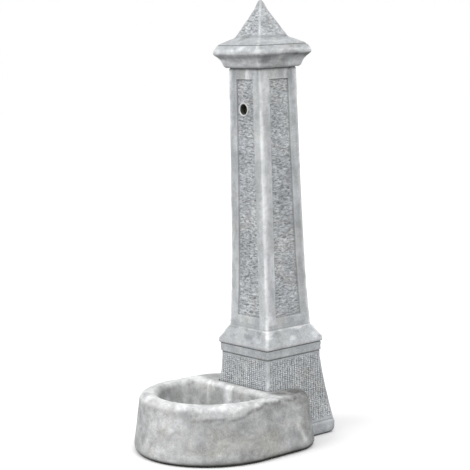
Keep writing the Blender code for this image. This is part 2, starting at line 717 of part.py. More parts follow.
clear_scene()
MATERIALS = {
    "stone": material("cast_stone", (0.62, 0.63, 0.64), 0.85),
    "mortar": material("mortar", (0.60, 0.60, 0.59), 0.90),
    "brass": material("brass", (0.66, 0.50, 0.24), 0.35, 1.0),
    "galvanised": material("galvanised_steel", (0.56, 0.58, 0.60), 0.45, 1.0),
    "stainless": material("stainless_steel", (0.66, 0.66, 0.67), 0.30, 1.0),
    "chrome": material("chrome", (0.80, 0.80, 0.82), 0.12, 1.0),
    "ptfe": material("ptfe", (0.90, 0.90, 0.88), 0.50),
    "rubber": material("rubber", (0.04, 0.04, 0.04), 0.80),
    "red_plastic": material("red_plastic", (0.55, 0.05, 0.04), 0.45),
    "nylon": material("nylon", (0.55, 0.56, 0.58), 0.60),
    "polyethylene": material("polyethylene", (0.03, 0.03, 0.035), 0.50),
}
column_axis = add_empty("column_axis", (COLUMN_X, COLUMN_Y, 0))
pedestal_casting = build_pedestal(column_axis)
build_column(column_axis)
build_cap(column_axis)
build_basin(column_axis)
build_mortar(column_axis)
build_dowels(column_axis)
build_supply(column_axis)
build_drain(column_axis)
build_access(column_axis, pedestal_casting)
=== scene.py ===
"""Looks for the cast-stone drinking fountain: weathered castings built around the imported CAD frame."""

import json
from math import cos, pi, radians, sin

import bmesh
import bpy
import numpy as np
from mathutils import Matrix, Vector


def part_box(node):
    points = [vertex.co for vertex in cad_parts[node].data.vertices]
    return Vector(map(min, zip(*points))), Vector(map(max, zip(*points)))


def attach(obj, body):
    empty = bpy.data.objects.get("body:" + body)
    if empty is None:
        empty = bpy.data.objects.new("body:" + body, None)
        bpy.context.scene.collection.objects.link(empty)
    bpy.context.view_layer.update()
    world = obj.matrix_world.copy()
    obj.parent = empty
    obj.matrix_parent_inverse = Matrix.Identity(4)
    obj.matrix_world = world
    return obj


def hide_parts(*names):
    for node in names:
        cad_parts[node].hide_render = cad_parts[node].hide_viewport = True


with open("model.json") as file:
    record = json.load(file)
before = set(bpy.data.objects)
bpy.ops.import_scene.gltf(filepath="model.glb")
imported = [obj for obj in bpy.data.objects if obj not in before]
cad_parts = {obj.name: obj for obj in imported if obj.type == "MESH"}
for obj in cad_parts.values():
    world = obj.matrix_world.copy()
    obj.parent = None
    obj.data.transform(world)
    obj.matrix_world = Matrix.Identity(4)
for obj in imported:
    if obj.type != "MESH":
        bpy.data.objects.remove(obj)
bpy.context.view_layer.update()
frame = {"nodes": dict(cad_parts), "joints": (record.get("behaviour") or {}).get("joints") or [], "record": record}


def middle_of(name):
    """The middle of a CAD node's box."""
    return [(low + high) / 2 for low, high in zip(*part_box(name))]


def half_width(name):
    return (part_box(name)[1][0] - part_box(name)[0][0]) / 2


# Places taken from the frame
BASIN_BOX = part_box("basin")
AXIS = middle_of("column")[:2]
BASIN_X = middle_of("basin")[0]
PEDESTAL_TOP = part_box("pedestal")[1][2]
COLUMN_FOOT, COLUMN_TOP = [corner[2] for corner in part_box("column")]
CAP_FOOT, TIP = [corner[2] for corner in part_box("cap")]

# Shape of the castings, as in the CAD
PEDESTAL_FOOT_HALF = half_width("pedestal")
PEDESTAL_TOP_HALF = 0.1015
PEDESTAL_FLARE = 0.0239
FLARE_TOP_Z = 0.235
FLARE_FOOT_Z = 0.045
SHAFT_FOOT_Z = 0.335
SHAFT_TOP_HALF = 0.068
SHAFT_TAPER = 0.0085
SHAFT_FOOT_FLARE = 0.006
PANEL_MARGIN = 0.033
PANEL_DEPTH = 0.004
PANEL_BOTTOM = 0.354
PANEL_TOP = 1.029
BASIN_HALF = half_width("basin")
BASIN_CENTRE_Y = BASIN_BOX[0][1] + BASIN_HALF - AXIS[1]
BASIN_REAR_Y = 0.026
BASIN_CORNER = 0.114
BASIN_HEIGHT = 0.162
RIM_SLOPE = 0.022
ARM_SLOPE = 0.065
ARM_START_Y = -0.115
BOWL_HALF = 0.156
BOWL_REAR_Y = -0.146
BOWL_CORNER = 0.016
BOWL_FLOOR_Z = 0.056
NOTCH_GAP = 0.004
CORE_R = 0.03
CHAMBER_HALF = 0.075
CHAMBER_TOP = 0.2
CHAMBER_CORNER = 0.01
OUTLET_HOLE_R = 0.015
DOWEL_HOLE_R = 0.0065
DOWEL_OFFSETS = (-0.055, 0.055)
WEAVE_PITCH = 0.0053
WEAVE_WIDTH = 0.009
PANEL_BEVEL = 0.002
SHAFT_CORNER = 0.004
TOOLING_DEPTH = 0.0009
PANEL_TOOLING_DEPTH = 0.001
PEDESTAL_JOINT_HALF = 0.1006
CAP_JOINT_HALF = 0.067
JOINT_CORNER = 0.004

# How deep the holes go into the castings, and how far a cut passes beyond their faces
PEDESTAL_DOWEL_DEPTH = 0.035
COLUMN_DOWEL_DEPTH = 0.045
HEAD_DOWEL_DEPTH = 0.03
CAP_DOWEL_DEPTH = 0.038
CORE_TOP = 0.985
OUTLET_DEPTH = 0.1
OVERCUT = 0.01

# Cuts (half width, half height, back, front, corner radius) from the middle of the service cover
SERVICE_OPENING = (0.045, 0.055, -0.075, 0.03, 0.006)
COVER_SEAT = (half_width("access_cover") + 0.0015, 0.07, -0.0033, 0.03, 0.0075)
PLUG_HOLE_R = 0.0043
PLUG_HOLE_DEPTH = 0.036
PLUG_HOLES = [(x, y) for x in (-0.0515, 0.0515) for y in (-0.0615, 0.0615)]

# Outlines as rows (height, half width, corner radius)
PEDESTAL_FOOT = (
    (0.0, PEDESTAL_FOOT_HALF - 0.0077, 0.012), (0.006, PEDESTAL_FOOT_HALF - 0.0017, 0.012),
    (0.014, PEDESTAL_FOOT_HALF, 0.01), (0.033, PEDESTAL_FOOT_HALF, 0.008),
    (0.039, 0.1274, 0.006), (0.0405, 0.1252, 0.006), (0.0425, 0.1254, 0.006),
)
COLUMN_MOULDING = (
    (COLUMN_FOOT, 0.103, 0.004), (COLUMN_FOOT + 0.001, 0.1034, 0.004), (0.268, 0.1044, 0.004),
    (0.2686, 0.1026, 0.004), (0.2702, 0.1026, 0.004), (0.2708, 0.1066, 0.005),
    (0.275, 0.1086, 0.007), (0.28, 0.1088, 0.007), (0.285, 0.1074, 0.006),
    (0.291, 0.1028, 0.005), (0.3, 0.0972, 0.005), (0.31, 0.0912, 0.004),
    (0.3195, 0.0862, 0.004), (0.3215, 0.0838, 0.004), (0.327, 0.0826, 0.004),
)
CAP_OUTLINE = (
    (CAP_FOOT, 0.0742, 0.004), (CAP_FOOT + 0.001, 0.0757, 0.005), (1.0645, 0.0788, 0.005),
    (1.07, 0.081, 0.006), (1.076, 0.0831, 0.007), (1.082, 0.0864, 0.008),
    (1.088, 0.0912, 0.009), (1.0935, 0.0968, 0.01), (1.0985, 0.101, 0.011),
    (1.103, 0.1021, 0.011), (1.108, 0.1012, 0.011), (1.113, 0.0988, 0.01),
    (1.118, 0.0958, 0.009), (1.1222, 0.093, 0.008), (1.1229, 0.0898, 0.006),
    (1.1243, 0.0898, 0.006), (1.1262, 0.0893, 0.006), (1.1365, 0.0705, 0.004),
    (1.1425, 0.0568, 0.003), (1.146, 0.053, 0.003), (1.22, 0.015, 0.003),
    (1.23, 0.0112, 0.003), (1.238, 0.0084, 0.003), (1.242, 0.0065, 0.003),
    (1.246, 0.004, 0.002), (TIP, 0.0012, 0.001),
)

# Corners (inset, height) of the basin's outside and of its bowl, and (radius, height) of its drain, downwards
BASIN_UNDER, BASIN_EDGE = (0.0175, 0.0), (0.0, 0.019)
BASIN_SHOULDER, BASIN_RIM = (0.019, 0.136), (0.044, BASIN_HEIGHT)
BOWL_LIP, BOWL_THROAT = (-0.016, BASIN_HEIGHT), (0.002, 0.144)
BOWL_FOOT, BOWL_FLOOR = (0.01, 0.078), (0.034, BOWL_FLOOR_Z)
DRAIN_REBATE = (0.03, BOWL_FLOOR_Z - 0.0004)
DRAIN_OUTLINE = (
    (0.03, 0.051), (0.024, 0.051), (0.0198, 0.051), (0.0198, 0.04), (0.0198, 0.03),
    (0.036, 0.03), (0.055, 0.03), (0.055, 0.015), (0.055, 0.0),
)

# Points of a basin ring: those of its outline that start a part, and how many each part gets
RING_STARTS = (0, 23, 24, 47, 48, 137, 138)
RING_COUNTS = (48, 48, 48, 44, 164, 44)

# Rings across the basin's rim, and from the rim's outer edge to the drain
RIM_RINGS = 14
AIRY_RINGS = 75

# Zones (start, full, fading, gone) by height
PEDESTAL_FACES = (0.046, 0.052, PEDESTAL_TOP - 0.007, PEDESTAL_TOP - 0.002)
CAPITAL = (CAP_FOOT, 1.066, 1.12, 1.123)
UNDERSIDE = (CAP_FOOT, 1.066, 1.094, 1.104)
CAP_SLOPE = (1.1255, 1.128, 1.146, 1.15)
PYRAMID = (1.148, 1.152, 1.232, 1.24)

# Bands (strength, height, width) that run round a casting: of wear, or of darkening, which is grime with painted
# shade along grooves and joints
PEDESTAL_RUBBED = ((0.25, 0.036, 0.003),)
PEDESTAL_GRIME_AND_SHADE = ((0.55, 0.0408, 0.0014), (0.4, PEDESTAL_TOP, 0.0016))
COLUMN_RUBBED = ((0.55, 0.277, 0.006), (0.4, 0.3203, 0.0016))
COLUMN_GRIME_AND_SHADE = (
    (0.9, 0.2694, 0.0012), (0.4, COLUMN_FOOT, 0.0016), (0.3, 0.3235, 0.0022),
    (0.55, COLUMN_TOP, 0.0035),
)
CAP_RUBBED = ((0.45, 1.109, 0.011), (0.06, 1.132, 0.008))
CAP_GRIME_AND_SHADE = ((0.85, 1.1236, 0.0013), (0.25, 1.1465, 0.003))

# Pale runs (x, width, lowest height, strength) down the bowl's rear wall
BOWL_RUNS = ((-0.15, 0.016, 0.06, 0.6), (-0.113, 0.0045, 0.085, 0.85), (-0.022, 0.017, 0.074, 1.1))


# ---- noise


def lattice(i, j, k, seed):
    """Repeatable pseudo-random values from 0 to 1 at whole-number points."""
    h = i.astype(np.int64) * 73856093 ^ j.astype(np.int64) * 19349663 ^ k.astype(np.int64) * 83492791
    h = (h ^ (seed * 2654435761)) & 0xFFFFFFFF
    h = (h ^ (h >> 15)) * 2246822519 & 0xFFFFFFFF
    h = (h ^ (h >> 13)) * 3266489917 & 0xFFFFFFFF
    return ((h ^ (h >> 16)) & 0xFFFFFF) / float(0xFFFFFF)


def noise(points, cell, seed):
    """Smooth noise from -1 to 1. cell is the size of one lump, or its sizes (across, up)."""
    across, up = np.broadcast_to(cell, 2)
    q = points / np.array([across, across, up])
    base = np.floor(q)
    t = q - base
    t = t * t * (3 - 2 * t)
    i, j, k = base[..., 0], base[..., 1], base[..., 2]
    total = 0
    for di in (0, 1):
        for dj in (0, 1):
            for dk in (0, 1):
                weight = (t[..., 0] if di else 1 - t[..., 0]) * (t[..., 1] if dj else 1 - t[..., 1])
                weight = weight * (t[..., 2] if dk else 1 - t[..., 2])
                total = total + weight * lattice(i + di, j + dj, k + dk, seed)
    return 2 * total - 1


def fractal(points, cell, octaves, seed):
    """Noise with finer and fainter noise added to it."""
    total, size, scale = 0, 1.0, np.asarray(cell, float)
    for octave in range(octaves):
        total = total + size * noise(points, scale, seed + 17 * octave)
        size *= 0.5
        scale = scale * 0.5
    return total / 1.6


def patchy(points, cell, seed):
    """Smooth noise from 0 to 1."""
    return 0.5 + 0.5 * noise(points, cell, seed)


def ease(low, high, value):
    """0 at low, 1 at high and smooth on the way."""
    t = np.clip((value - low) / (high - low), 0, 1)
    return t * t * (3 - 2 * t)


def between(z, zone):
    """1 inside a zone of heights and 0 outside it, with smooth ends."""
    start, full, fading, gone = zone
    return ease(start, full, z) * (1 - ease(fading, gone, z))


def groove(place, at, width):
    """1 at one place, falling to 0 on both sides of it."""
    return np.exp(-(((place - at) / width) ** 2))


def bands(z, rows):
    """The sum of the bands in rows of (strength, height, width)."""
    return sum(strength * groove(z, at, width) for strength, at, width in rows)


# ---- grids


def grid_normals(grid, closed):
    """Outward unit normals of a grid of rings that run anticlockwise and climb the outside."""
    around = np.roll(grid, -1, 1) - np.roll(grid, 1, 1)
    if closed:
        along = np.roll(grid, -1, 0) - np.roll(grid, 1, 0)
    else:
        along = np.gradient(grid, axis=0)
    normal = np.cross(around, along)
    return normal / np.maximum(np.linalg.norm(normal, axis=2, keepdims=True), 1e-12)


def grid_mesh(name, grid, marks, closed):
    """A skin over the grid, capped if its rows are open. marks are (wear, tooled, relief, darkening)."""
    rows, count = grid.shape[:2]
    index = np.arange(rows * count).reshape(rows, count)
    low = index if closed else index[:-1]
    high = np.roll(index, -1, 0) if closed else index[1:]
    quads = np.stack([low, np.roll(low, -1, 1), np.roll(high, -1, 1), high], -1).reshape(-1, 4)
    faces = quads.tolist()
    if not closed:
        faces += [index[0][::-1].tolist(), index[-1].tolist()]
    mesh = bpy.data.meshes.new(name)
    mesh.from_pydata(grid.reshape(-1, 3).tolist(), [], faces)
    layer = mesh.color_attributes.new("marks", "FLOAT_COLOR", "POINT")
    layer.data.foreach_set("color", marks.reshape(-1).astype(np.float32))
    mesh.update()
    return mesh


def new_object(name, data):
    obj = bpy.data.objects.new(name, data)
    bpy.context.scene.collection.objects.link(obj)
    return obj


def add_casting(name, mesh, material, replaced):
    """Puts the mesh in the scene in place of a CAD node."""
    mesh.materials.clear()
    mesh.materials.append(material)
    mesh.shade_smooth()
    mesh.set_sharp_from_angle(angle=radians(48))
    piece = new_object(name, mesh)
    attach(piece, "fountain")
    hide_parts(replaced)


OUTLINE_STEP = 0.0004


def resample(profile, spacing, softness):
    """Evenly spaced points along an outline of rows (z, half, corner), with its angles rounded off."""
    rows = np.array(profile, float)
    steps = np.linalg.norm(np.diff(rows[:, :2], axis=0), axis=1)
    run = np.concatenate([[0], np.cumsum(steps)])
    fine = np.linspace(0, run[-1], int(run[-1] / OUTLINE_STEP) + 2)
    dense = np.stack([np.interp(fine, run, column) for column in rows.T], 1)
    reach = max(int(3 * softness / OUTLINE_STEP), 1)
    kernel = np.exp(-0.5 * (np.arange(-reach, reach + 1) * OUTLINE_STEP / softness) ** 2)
    kernel /= kernel.sum()
    before, after = 2 * dense[0] - dense[reach:0:-1], 2 * dense[-1] - dense[-2 : -reach - 2 : -1]
    padded = np.concatenate([before, dense, after])
    soft = np.stack([np.convolve(column, kernel, "valid") for column in padded.T], 1)
    wanted = np.concatenate([[0], np.cumsum(np.full(int(fine[-1] / spacing) + 2, spacing))])
    wanted = np.append(wanted[wanted < run[-1] - OUTLINE_STEP], run[-1])
    return np.stack([np.interp(wanted, fine, column) for column in soft.T], 1)


CORNER_STEPS = 6


def square_grid(levels, across):
    """Rings of rounded squares. levels are rows (z, half, corner); across gives the places on one face.

    Returns the points, their places across their faces from the middle, and their closeness to a corner.
    """
    points, places, corners = [], [], []
    for z, half, corner in levels:
        ring, place, close = [], [], []
        flat = half - corner
        spots = across(half, flat)
        turn = np.linspace(-pi / 4, pi / 4, CORNER_STEPS + 1)[1:-1]
        for quarter in range(4):
            c, s = cos(quarter * pi / 2), sin(quarter * pi / 2)
            local = [(spot, -half) for spot in spots]
            local += [(flat + corner * cos(a - pi / 4), -flat + corner * sin(a - pi / 4)) for a in turn]
            ring += [(AXIS[0] + x * c - y * s, AXIS[1] + x * s + y * c, z) for x, y in local]
            place += list(spots) + [half] * len(turn)
            edge = np.exp(-np.clip(flat - np.abs(spots), 0, None) / 0.0022)
            close += list(edge) + [1.0] * len(turn)
        points.append(ring)
        places.append(place)
        corners.append(close)
    return np.array(points), np.array(places), np.array(corners)


def clip_to(grid, box):
    """Keeps displaced points inside a CAD node's box."""
    return np.clip(grid, np.array(box[0]), np.array(box[1]))


# ---- cutting


def solid(rings):
    """A capped bmesh skin over rings of equally many points."""
    bm = bmesh.new()
    rows = [[bm.verts.new(p) for p in ring] for ring in rings]
    bm.faces.new(rows[0])
    bm.faces.new(rows[-1])
    for low, high in zip(rows, rows[1:]):
        for i in range(len(low)):
            j = (i + 1) % len(low)
            bm.faces.new((low[i], low[j], high[j], high[i]))
    bmesh.ops.recalc_face_normals(bm, faces=bm.faces)
    return bm


def rod(radius, low, high, steps=32, centre=(0, 0)):
    turn = [2 * pi * i / steps for i in range(steps)]
    ring = [(centre[0] + radius * cos(a), centre[1] + radius * sin(a)) for a in turn]
    return solid([[(x, y, z) for x, y in ring] for z in (low, high)])


def block(half_x, half_y, low, high, corner):
    """A block whose four upright edges are rounded."""
    ring = []
    for quarter, (sx, sy) in enumerate(((1, 1), (-1, 1), (-1, -1), (1, -1))):
        for i in range(4):
            a = (quarter + i / 3) * pi / 2
            ring.append((sx * (half_x - corner) + corner * cos(a), sy * (half_y - corner) + corner * sin(a)))
    return solid([[(x, y, z) for x, y in ring] for z in (low, high)])


def placed(bm, matrix):
    bmesh.ops.transform(bm, verts=bm.verts, matrix=matrix)
    return bm


def temporary(bm):
    mesh = bpy.data.meshes.new("cutter")
    bm.to_mesh(mesh)
    bm.free()
    return new_object("cutter", mesh)


def combined(target, tools, operation):
    """The mesh of target after joining or cutting with each tool. The temporary objects are removed."""
    for tool in tools:
        modifier = target.modifiers.new("combine", "BOOLEAN")
        modifier.operation = operation
        modifier.solver = "EXACT"
        modifier.object = tool
    graph = bpy.context.evaluated_depsgraph_get()
    mesh = bpy.data.meshes.new_from_object(target.evaluated_get(graph))
    for obj in [target, *tools]:
        bpy.data.objects.remove(obj, do_unlink=True)
    return mesh


def carved(mesh, cutters):
    """mesh with the union of the cutters taken away."""
    tools = [temporary(bm) for bm in cutters]
    if len(tools) > 1:
        tools = [new_object("cutters", combined(tools[0], tools[1:], "UNION"))]
    return combined(new_object("target", mesh), tools, "DIFFERENCE")


def at_axis(x=0.0, y=0.0):
    return Matrix.Translation((AXIS[0] + x, AXIS[1] + y, 0))


def along_y():
    return Matrix.Rotation(-pi / 2, 4, "X")


def core_hole(low, high):
    return placed(rod(CORE_R, low, high), at_axis())


def dowel_hole(low, high, offset=0.0):
    """An upright hole for a steel pin, equally far from the axis along x and y."""
    return placed(rod(DOWEL_HOLE_R, low, high, 16), at_axis(offset, offset))


# ---- materials


def set_up(name):
    mat = bpy.data.materials.new(name)
    mat.use_nodes = True
    return mat, mat.node_tree, mat.node_tree.nodes["Principled BSDF"]


def node(tree, kind, inputs=None, **settings):
    """Adds a node. inputs maps socket names or numbers to a value or to another node's output."""
    made = tree.nodes.new("ShaderNode" + kind)
    for key, value in settings.items():
        setattr(made, key, value)
    for key, value in (inputs or {}).items():
        if isinstance(value, bpy.types.NodeSocket):
            tree.links.new(value, made.inputs[key])
        else:
            made.inputs[key].default_value = value
    return made


def maths(tree, operation, a, b=0.5, clamp=False):
    return node(tree, "Math", {0: a, 1: b}, operation=operation, use_clamp=clamp).outputs[0]


def times(tree, a, b, clamp=False):
    return maths(tree, "MULTIPLY", a, b, clamp)


def plus(tree, a, b, clamp=False):
    return maths(tree, "ADD", a, b, clamp)


def scaled(tree, value, factor, offset):
    return node(tree, "Math", {0: value, 1: factor, 2: offset}, operation="MULTIPLY_ADD").outputs[0]


def ramp(tree, factor, stops):
    made = node(tree, "ValToRGB", {"Fac": factor})
    elements = made.color_ramp.elements
    while len(elements) < len(stops):
        elements.new(0.5)
    for element, (at, colour) in zip(elements, stops):
        element.position = at
        element.color = (*colour, 1) if isinstance(colour, tuple) else (colour, colour, colour, 1)
    return made.outputs["Color"]


def blend(tree, factor, a, b, mode="MIX"):
    made = node(tree, "Mix", {0: factor}, data_type="RGBA", blend_type=mode)
    for socket, value in ((made.inputs[6], a), (made.inputs[7], b)):
        if isinstance(value, bpy.types.NodeSocket):
            tree.links.new(value, socket)
        else:
            socket.default_value = (*value, 1)
    return made.outputs[2]


def tinted(tree, colour, factor, stops):
    """colour multiplied by a ramp over factor."""
    return blend(tree, 1.0, colour, ramp(tree, factor, stops), "MULTIPLY")


def coordinates(tree, scale=(1, 1, 1)):
    place = node(tree, "TexCoord").outputs["Object"]
    return node(tree, "Mapping", {"Vector": place, "Scale": scale}).outputs["Vector"]


def noise_at(tree, scale, detail=4.0, roughness=0.5, distortion=0.0, stretch=(1, 1, 1)):
    inputs = {"Vector": coordinates(tree, stretch), "Scale": scale, "Detail": detail}
    inputs.update({"Roughness": roughness, "Distortion": distortion})
    return node(tree, "TexNoise", inputs).outputs["Fac"]


def connect(tree, shader, colour, roughness):
    tree.links.new(colour, shader.inputs["Base Color"])
    tree.links.new(roughness, shader.inputs["Roughness"])


def finish_bump(tree, shader, height, strength, distance):
    bump = node(tree, "Bump", {"Height": height, "Strength": strength, "Distance": distance})
    tree.links.new(bump.outputs["Normal"], shader.inputs["Normal"])


def strokes_pattern(tree):
    """Short level chisel strokes."""
    return noise_at(tree, 115.0, 2.0, 0.55, 0.8, stretch=(0.7, 0.7, 2.3))


def weave_pattern(tree):
    """A grid of dimples at the same pitch as the relief."""
    warp = times(tree, noise_at(tree, 60.0, 2.0), 2.4)
    axes = node(tree, "SeparateXYZ", {0: coordinates(tree)}).outputs
    rise = times(tree, axes[2], 2 * pi / WEAVE_PITCH)
    across = times(tree, plus(tree, axes[0], axes[1]), 2 * pi / WEAVE_WIDTH)
    level, upright = [plus(tree, maths(tree, "SINE", plus(tree, run, warp)), 1.0) for run in (rise, across)]
    knobs = maths(tree, "SUBTRACT", times(tree, level, upright), 1.0)
    rough = scaled(tree, noise_at(tree, 210.0, 2.0), 0.7, 0.15)
    return plus(tree, times(tree, knobs, 0.09), rough)


def raw_stone(tree, base, warm, mottle, middle, grain):
    """The casting's own colour, mottled in three sizes, warmer in patches and faintly streaked."""
    broad = noise_at(tree, 9.0, 5.0, 0.6, 0.4)
    colour = tinted(tree, base, broad, ((0.36, 1 - mottle), (0.64, 1 + mottle)))
    colour = tinted(tree, colour, middle, ((0.35, 1 - 0.8 * mottle), (0.65, 1 + 0.7 * mottle)))
    colour = tinted(tree, colour, grain, ((0.41, 0.86), (0.59, 1.11)))
    patches = noise_at(tree, 6.5, 3.0, 0.55, 0.8, stretch=(1, 1, 1.4))
    patches = ramp(tree, patches, ((0.52, 0.0), (0.72, 1.0)))
    colour = blend(tree, patches, colour, blend(tree, 1.0, colour, warm, "MULTIPLY"))
    faint = noise_at(tree, 1.0, 4.0, 0.6, 0.4, stretch=(30, 30, 5))
    return tinted(tree, colour, faint, ((0.3, (0.9, 0.9, 0.93)), (0.68, (1.08, 1.09, 1.07))))


def veined(tree, colour, strength):
    """colour with thin wandering veins."""
    wave = noise_at(tree, 7.0, 6.0, 0.62, 1.4, stretch=(1, 1, 1.8))
    away = maths(tree, "ABSOLUTE", maths(tree, "SUBTRACT", wave, 0.5))
    thin = ramp(tree, away, ((0.0, 1.0), (0.035, 0.0)))
    return blend(tree, times(tree, thin, strength), colour, (0.3, 0.3, 0.28))


def streaked(tree, colour, strength):
    """colour with pale upright streaks."""
    runs = noise_at(tree, 1.0, 3.0, 0.55, 0.3, stretch=(26, 26, 1.6))
    pale = ramp(tree, runs, ((0.55, 0.0), (0.74, 1.0)))
    return blend(tree, times(tree, pale, strength), colour, (0.8, 0.8, 0.79))


def weathered(tree, colour, marks, tooling, middle):
    """colour after tooling, wear, grime, and painted shade and highlight. marks are (wear, tooled, relief,
    darkening).
    """
    wear, tooled, relief, darkening = marks
    colour = blend(tree, times(tree, tooled, 0.16, True), colour, (0.27, 0.28, 0.295))
    # Painted shade and highlight: darker in the tooling pattern's hollows and lighter on its ridges, the same
    # pattern as the bump.
    painted_stroke_shade = tinted(tree, colour, tooling, ((0.34, 0.5), (0.5, 1.0), (0.66, 1.34)))
    colour = blend(tree, tooled, colour, painted_stroke_shade)
    # Painted shade and highlight: the relief mark darkens hollows and lightens peaks.
    shade = scaled(tree, relief, 0.5, 1.0)
    painted_relief_shade = node(tree, "CombineColor", {0: shade, 1: shade, 2: shade}).outputs[0]
    colour = blend(tree, 1.0, colour, painted_relief_shade, "MULTIPLY")
    chalk = times(tree, wear, ramp(tree, middle, ((0.3, 0.35), (0.65, 1.0))), True)
    colour = blend(tree, times(tree, chalk, 0.85), colour, (0.85, 0.86, 0.87))
    # Grime, and painted shade where the darkening mark stands for shadow: under the cap's torus, along grooves,
    # joints and the foot, in the outlet hole and on the basin's arms.
    soot_and_painted_shade = times(tree, darkening, ramp(tree, middle, ((0.3, 0.6), (0.6, 1.0))), True)
    colour = blend(tree, soot_and_painted_shade, colour, (0.08, 0.082, 0.074))
    # Painted shade: darker in crevices and corners, from an ambient occlusion node.
    painted_crevice_shade = node(tree, "AmbientOcclusion", {"Distance": 0.014}, samples=8).outputs["AO"]
    return tinted(tree, colour, painted_crevice_shade, ((0.1, 0.45), (0.6, 0.9), (0.95, 1.0)))


def stone_material(name, base, warm, mottle, veins, streaks, pattern=strokes_pattern):
    """Cast stone: mottled, finely pitted, paler where worn, with painted shade in tooled hollows and crevices,
    painted highlight on tooled ridges, and darker joints from grime and painted shade.
    """
    mat, tree, shader = set_up(name)
    attribute = node(tree, "Attribute", attribute_name="marks")
    wear, tooled, relief = node(tree, "SeparateColor", {"Color": attribute.outputs["Color"]}).outputs
    marks = (wear, tooled, relief, attribute.outputs["Alpha"])
    middle = noise_at(tree, 46.0, 6.0, 0.65, 0.6)
    grain = noise_at(tree, 260.0, 4.0, 0.75)
    colour = raw_stone(tree, base, warm, mottle, middle, grain)
    if veins:
        colour = veined(tree, colour, veins)
    if streaks:
        colour = streaked(tree, colour, streaks)
    tooling = pattern(tree)
    rough = node(tree, "MapRange", {"Value": middle, "To Min": 0.78, "To Max": 0.95}).outputs[0]
    connect(tree, shader, weathered(tree, colour, marks, tooling, middle), rough)
    shader.inputs["Specular IOR Level"].default_value = 0.25
    pits = ramp(tree, noise_at(tree, 230.0, 4.0, 0.6), ((0.3, 0.0), (0.42, 1.0)))
    height = plus(tree, times(tree, pits, 0.6), times(tree, grain, 0.5))
    cut_height = times(tree, times(tree, tooled, tooling), 2.2)
    finish_bump(tree, shader, plus(tree, height, cut_height), 0.5, 0.0008)
    return mat


def metal_material(name, base, dark, roughness, scale=(1, 1, 1), detail_scale=160.0, strength=0.12):
    """Metal with cloudy tarnish, a fine directional or cast grain, and uneven polish."""
    mat, tree, shader = set_up(name)
    cloud = noise_at(tree, 55.0, 5.0, 0.6, 0.5)
    grain = noise_at(tree, detail_scale, 4.0, 0.6, stretch=scale)
    colour = blend(tree, ramp(tree, cloud, ((0.35, 0.0), (0.7, 1.0))), base, dark)
    colour = tinted(tree, colour, grain, ((0.3, 0.88), (0.7, 1.06)))
    mixed = plus(tree, times(tree, cloud, 0.22), times(tree, grain, 0.12))
    connect(tree, shader, colour, plus(tree, mixed, roughness - 0.15, True))
    shader.inputs["Metallic"].default_value = 1.0
    finish_bump(tree, shader, grain, strength, 0.0003)
    return mat


def spangle_material(name):
    """Hot-dip zinc with its crystal pattern."""
    mat, tree, shader = set_up(name)
    cells = node(tree, "TexVoronoi", {"Vector": coordinates(tree), "Scale": 170.0, "Randomness": 1.0})
    tint = ramp(tree, cells.outputs["Color"], ((0.0, (0.34, 0.36, 0.38)), (1.0, (0.62, 0.64, 0.66))))
    dust = noise_at(tree, 40.0, 5.0, 0.6)
    colour = blend(tree, ramp(tree, dust, ((0.45, 0.0), (0.75, 0.6))), tint, (0.55, 0.55, 0.54))
    connect(tree, shader, colour, ramp(tree, cells.outputs["Color"], ((0.0, 0.35), (1.0, 0.6))))
    shader.inputs["Metallic"].default_value = 0.9
    finish_bump(tree, shader, dust, 0.15, 0.0003)
    return mat


def polymer_material(name, base, worn, roughness, scale):
    """Rubber or plastic with dusty scuffs and a fine moulded grain."""
    mat, tree, shader = set_up(name)
    scuff = noise_at(tree, 70.0, 5.0, 0.65, 0.8)
    grain = noise_at(tree, scale, 3.0, 0.6)
    colour = blend(tree, ramp(tree, scuff, ((0.5, 0.0), (0.8, 0.7))), base, worn)
    connect(tree, shader, colour, plus(tree, times(tree, scuff, 0.3), roughness - 0.15, True))
    finish_bump(tree, shader, grain, 0.25, 0.0002)
    return mat


def make_materials():
    cool, warm = (0.45, 0.466, 0.48), (1.02, 0.99, 0.94)
    grey = (0.415, 0.42, 0.42)
    return {
        "cast_stone": stone_material("column_stone", cool, warm, 0.14, 0.0, 0.1),
        "pedestal_stone": stone_material("pedestal_stone", cool, warm, 0.14, 0.0, 0.06, weave_pattern),
        "basin_stone": stone_material("basin_stone", grey, (1.03, 1.0, 0.95), 0.24, 0.5, 0.2),
        "mortar": stone_material("mortar", (0.4, 0.41, 0.41), warm, 0.1, 0.0, 0.0),
        "stained_brass": metal_material("stained_brass", (0.13, 0.115, 0.06), (0.03, 0.028, 0.018), 0.55),
        "brass": metal_material("tarnished_brass", (0.52, 0.4, 0.17), (0.16, 0.12, 0.06), 0.42),
        "stainless_steel": metal_material(
            "brushed_stainless", (0.62, 0.62, 0.63), (0.5, 0.5, 0.51), 0.34, (600, 8, 8), 1.0, 0.08
        ),
        "chrome": metal_material(
            "hard_chrome", (0.78, 0.78, 0.8), (0.66, 0.66, 0.68), 0.16, (1, 1, 1), 300.0, 0.03
        ),
        "galvanised_steel": spangle_material("galvanised_steel"),
        "ptfe": polymer_material("ptfe", (0.84, 0.84, 0.82), (0.7, 0.69, 0.66), 0.45, 500.0),
        "rubber": polymer_material("black_rubber", (0.022, 0.022, 0.024), (0.1, 0.1, 0.1), 0.75, 700.0),
        "red_plastic": polymer_material("red_vinyl", (0.48, 0.035, 0.025), (0.36, 0.1, 0.08), 0.42, 450.0),
        "nylon": polymer_material("grey_nylon", (0.42, 0.43, 0.45), (0.55, 0.55, 0.55), 0.55, 500.0),
        "polyethylene": polymer_material("black_pipe", (0.02, 0.02, 0.022), (0.09, 0.09, 0.09), 0.45, 500.0),
    }


# ---- relief of the castings


def face_run(grid):
    """Coordinates that run along all four upright faces at the same pace."""
    x, y, z = grid[..., 0], grid[..., 1], grid[..., 2]
    return np.stack([x + y, x - y, z], -1)


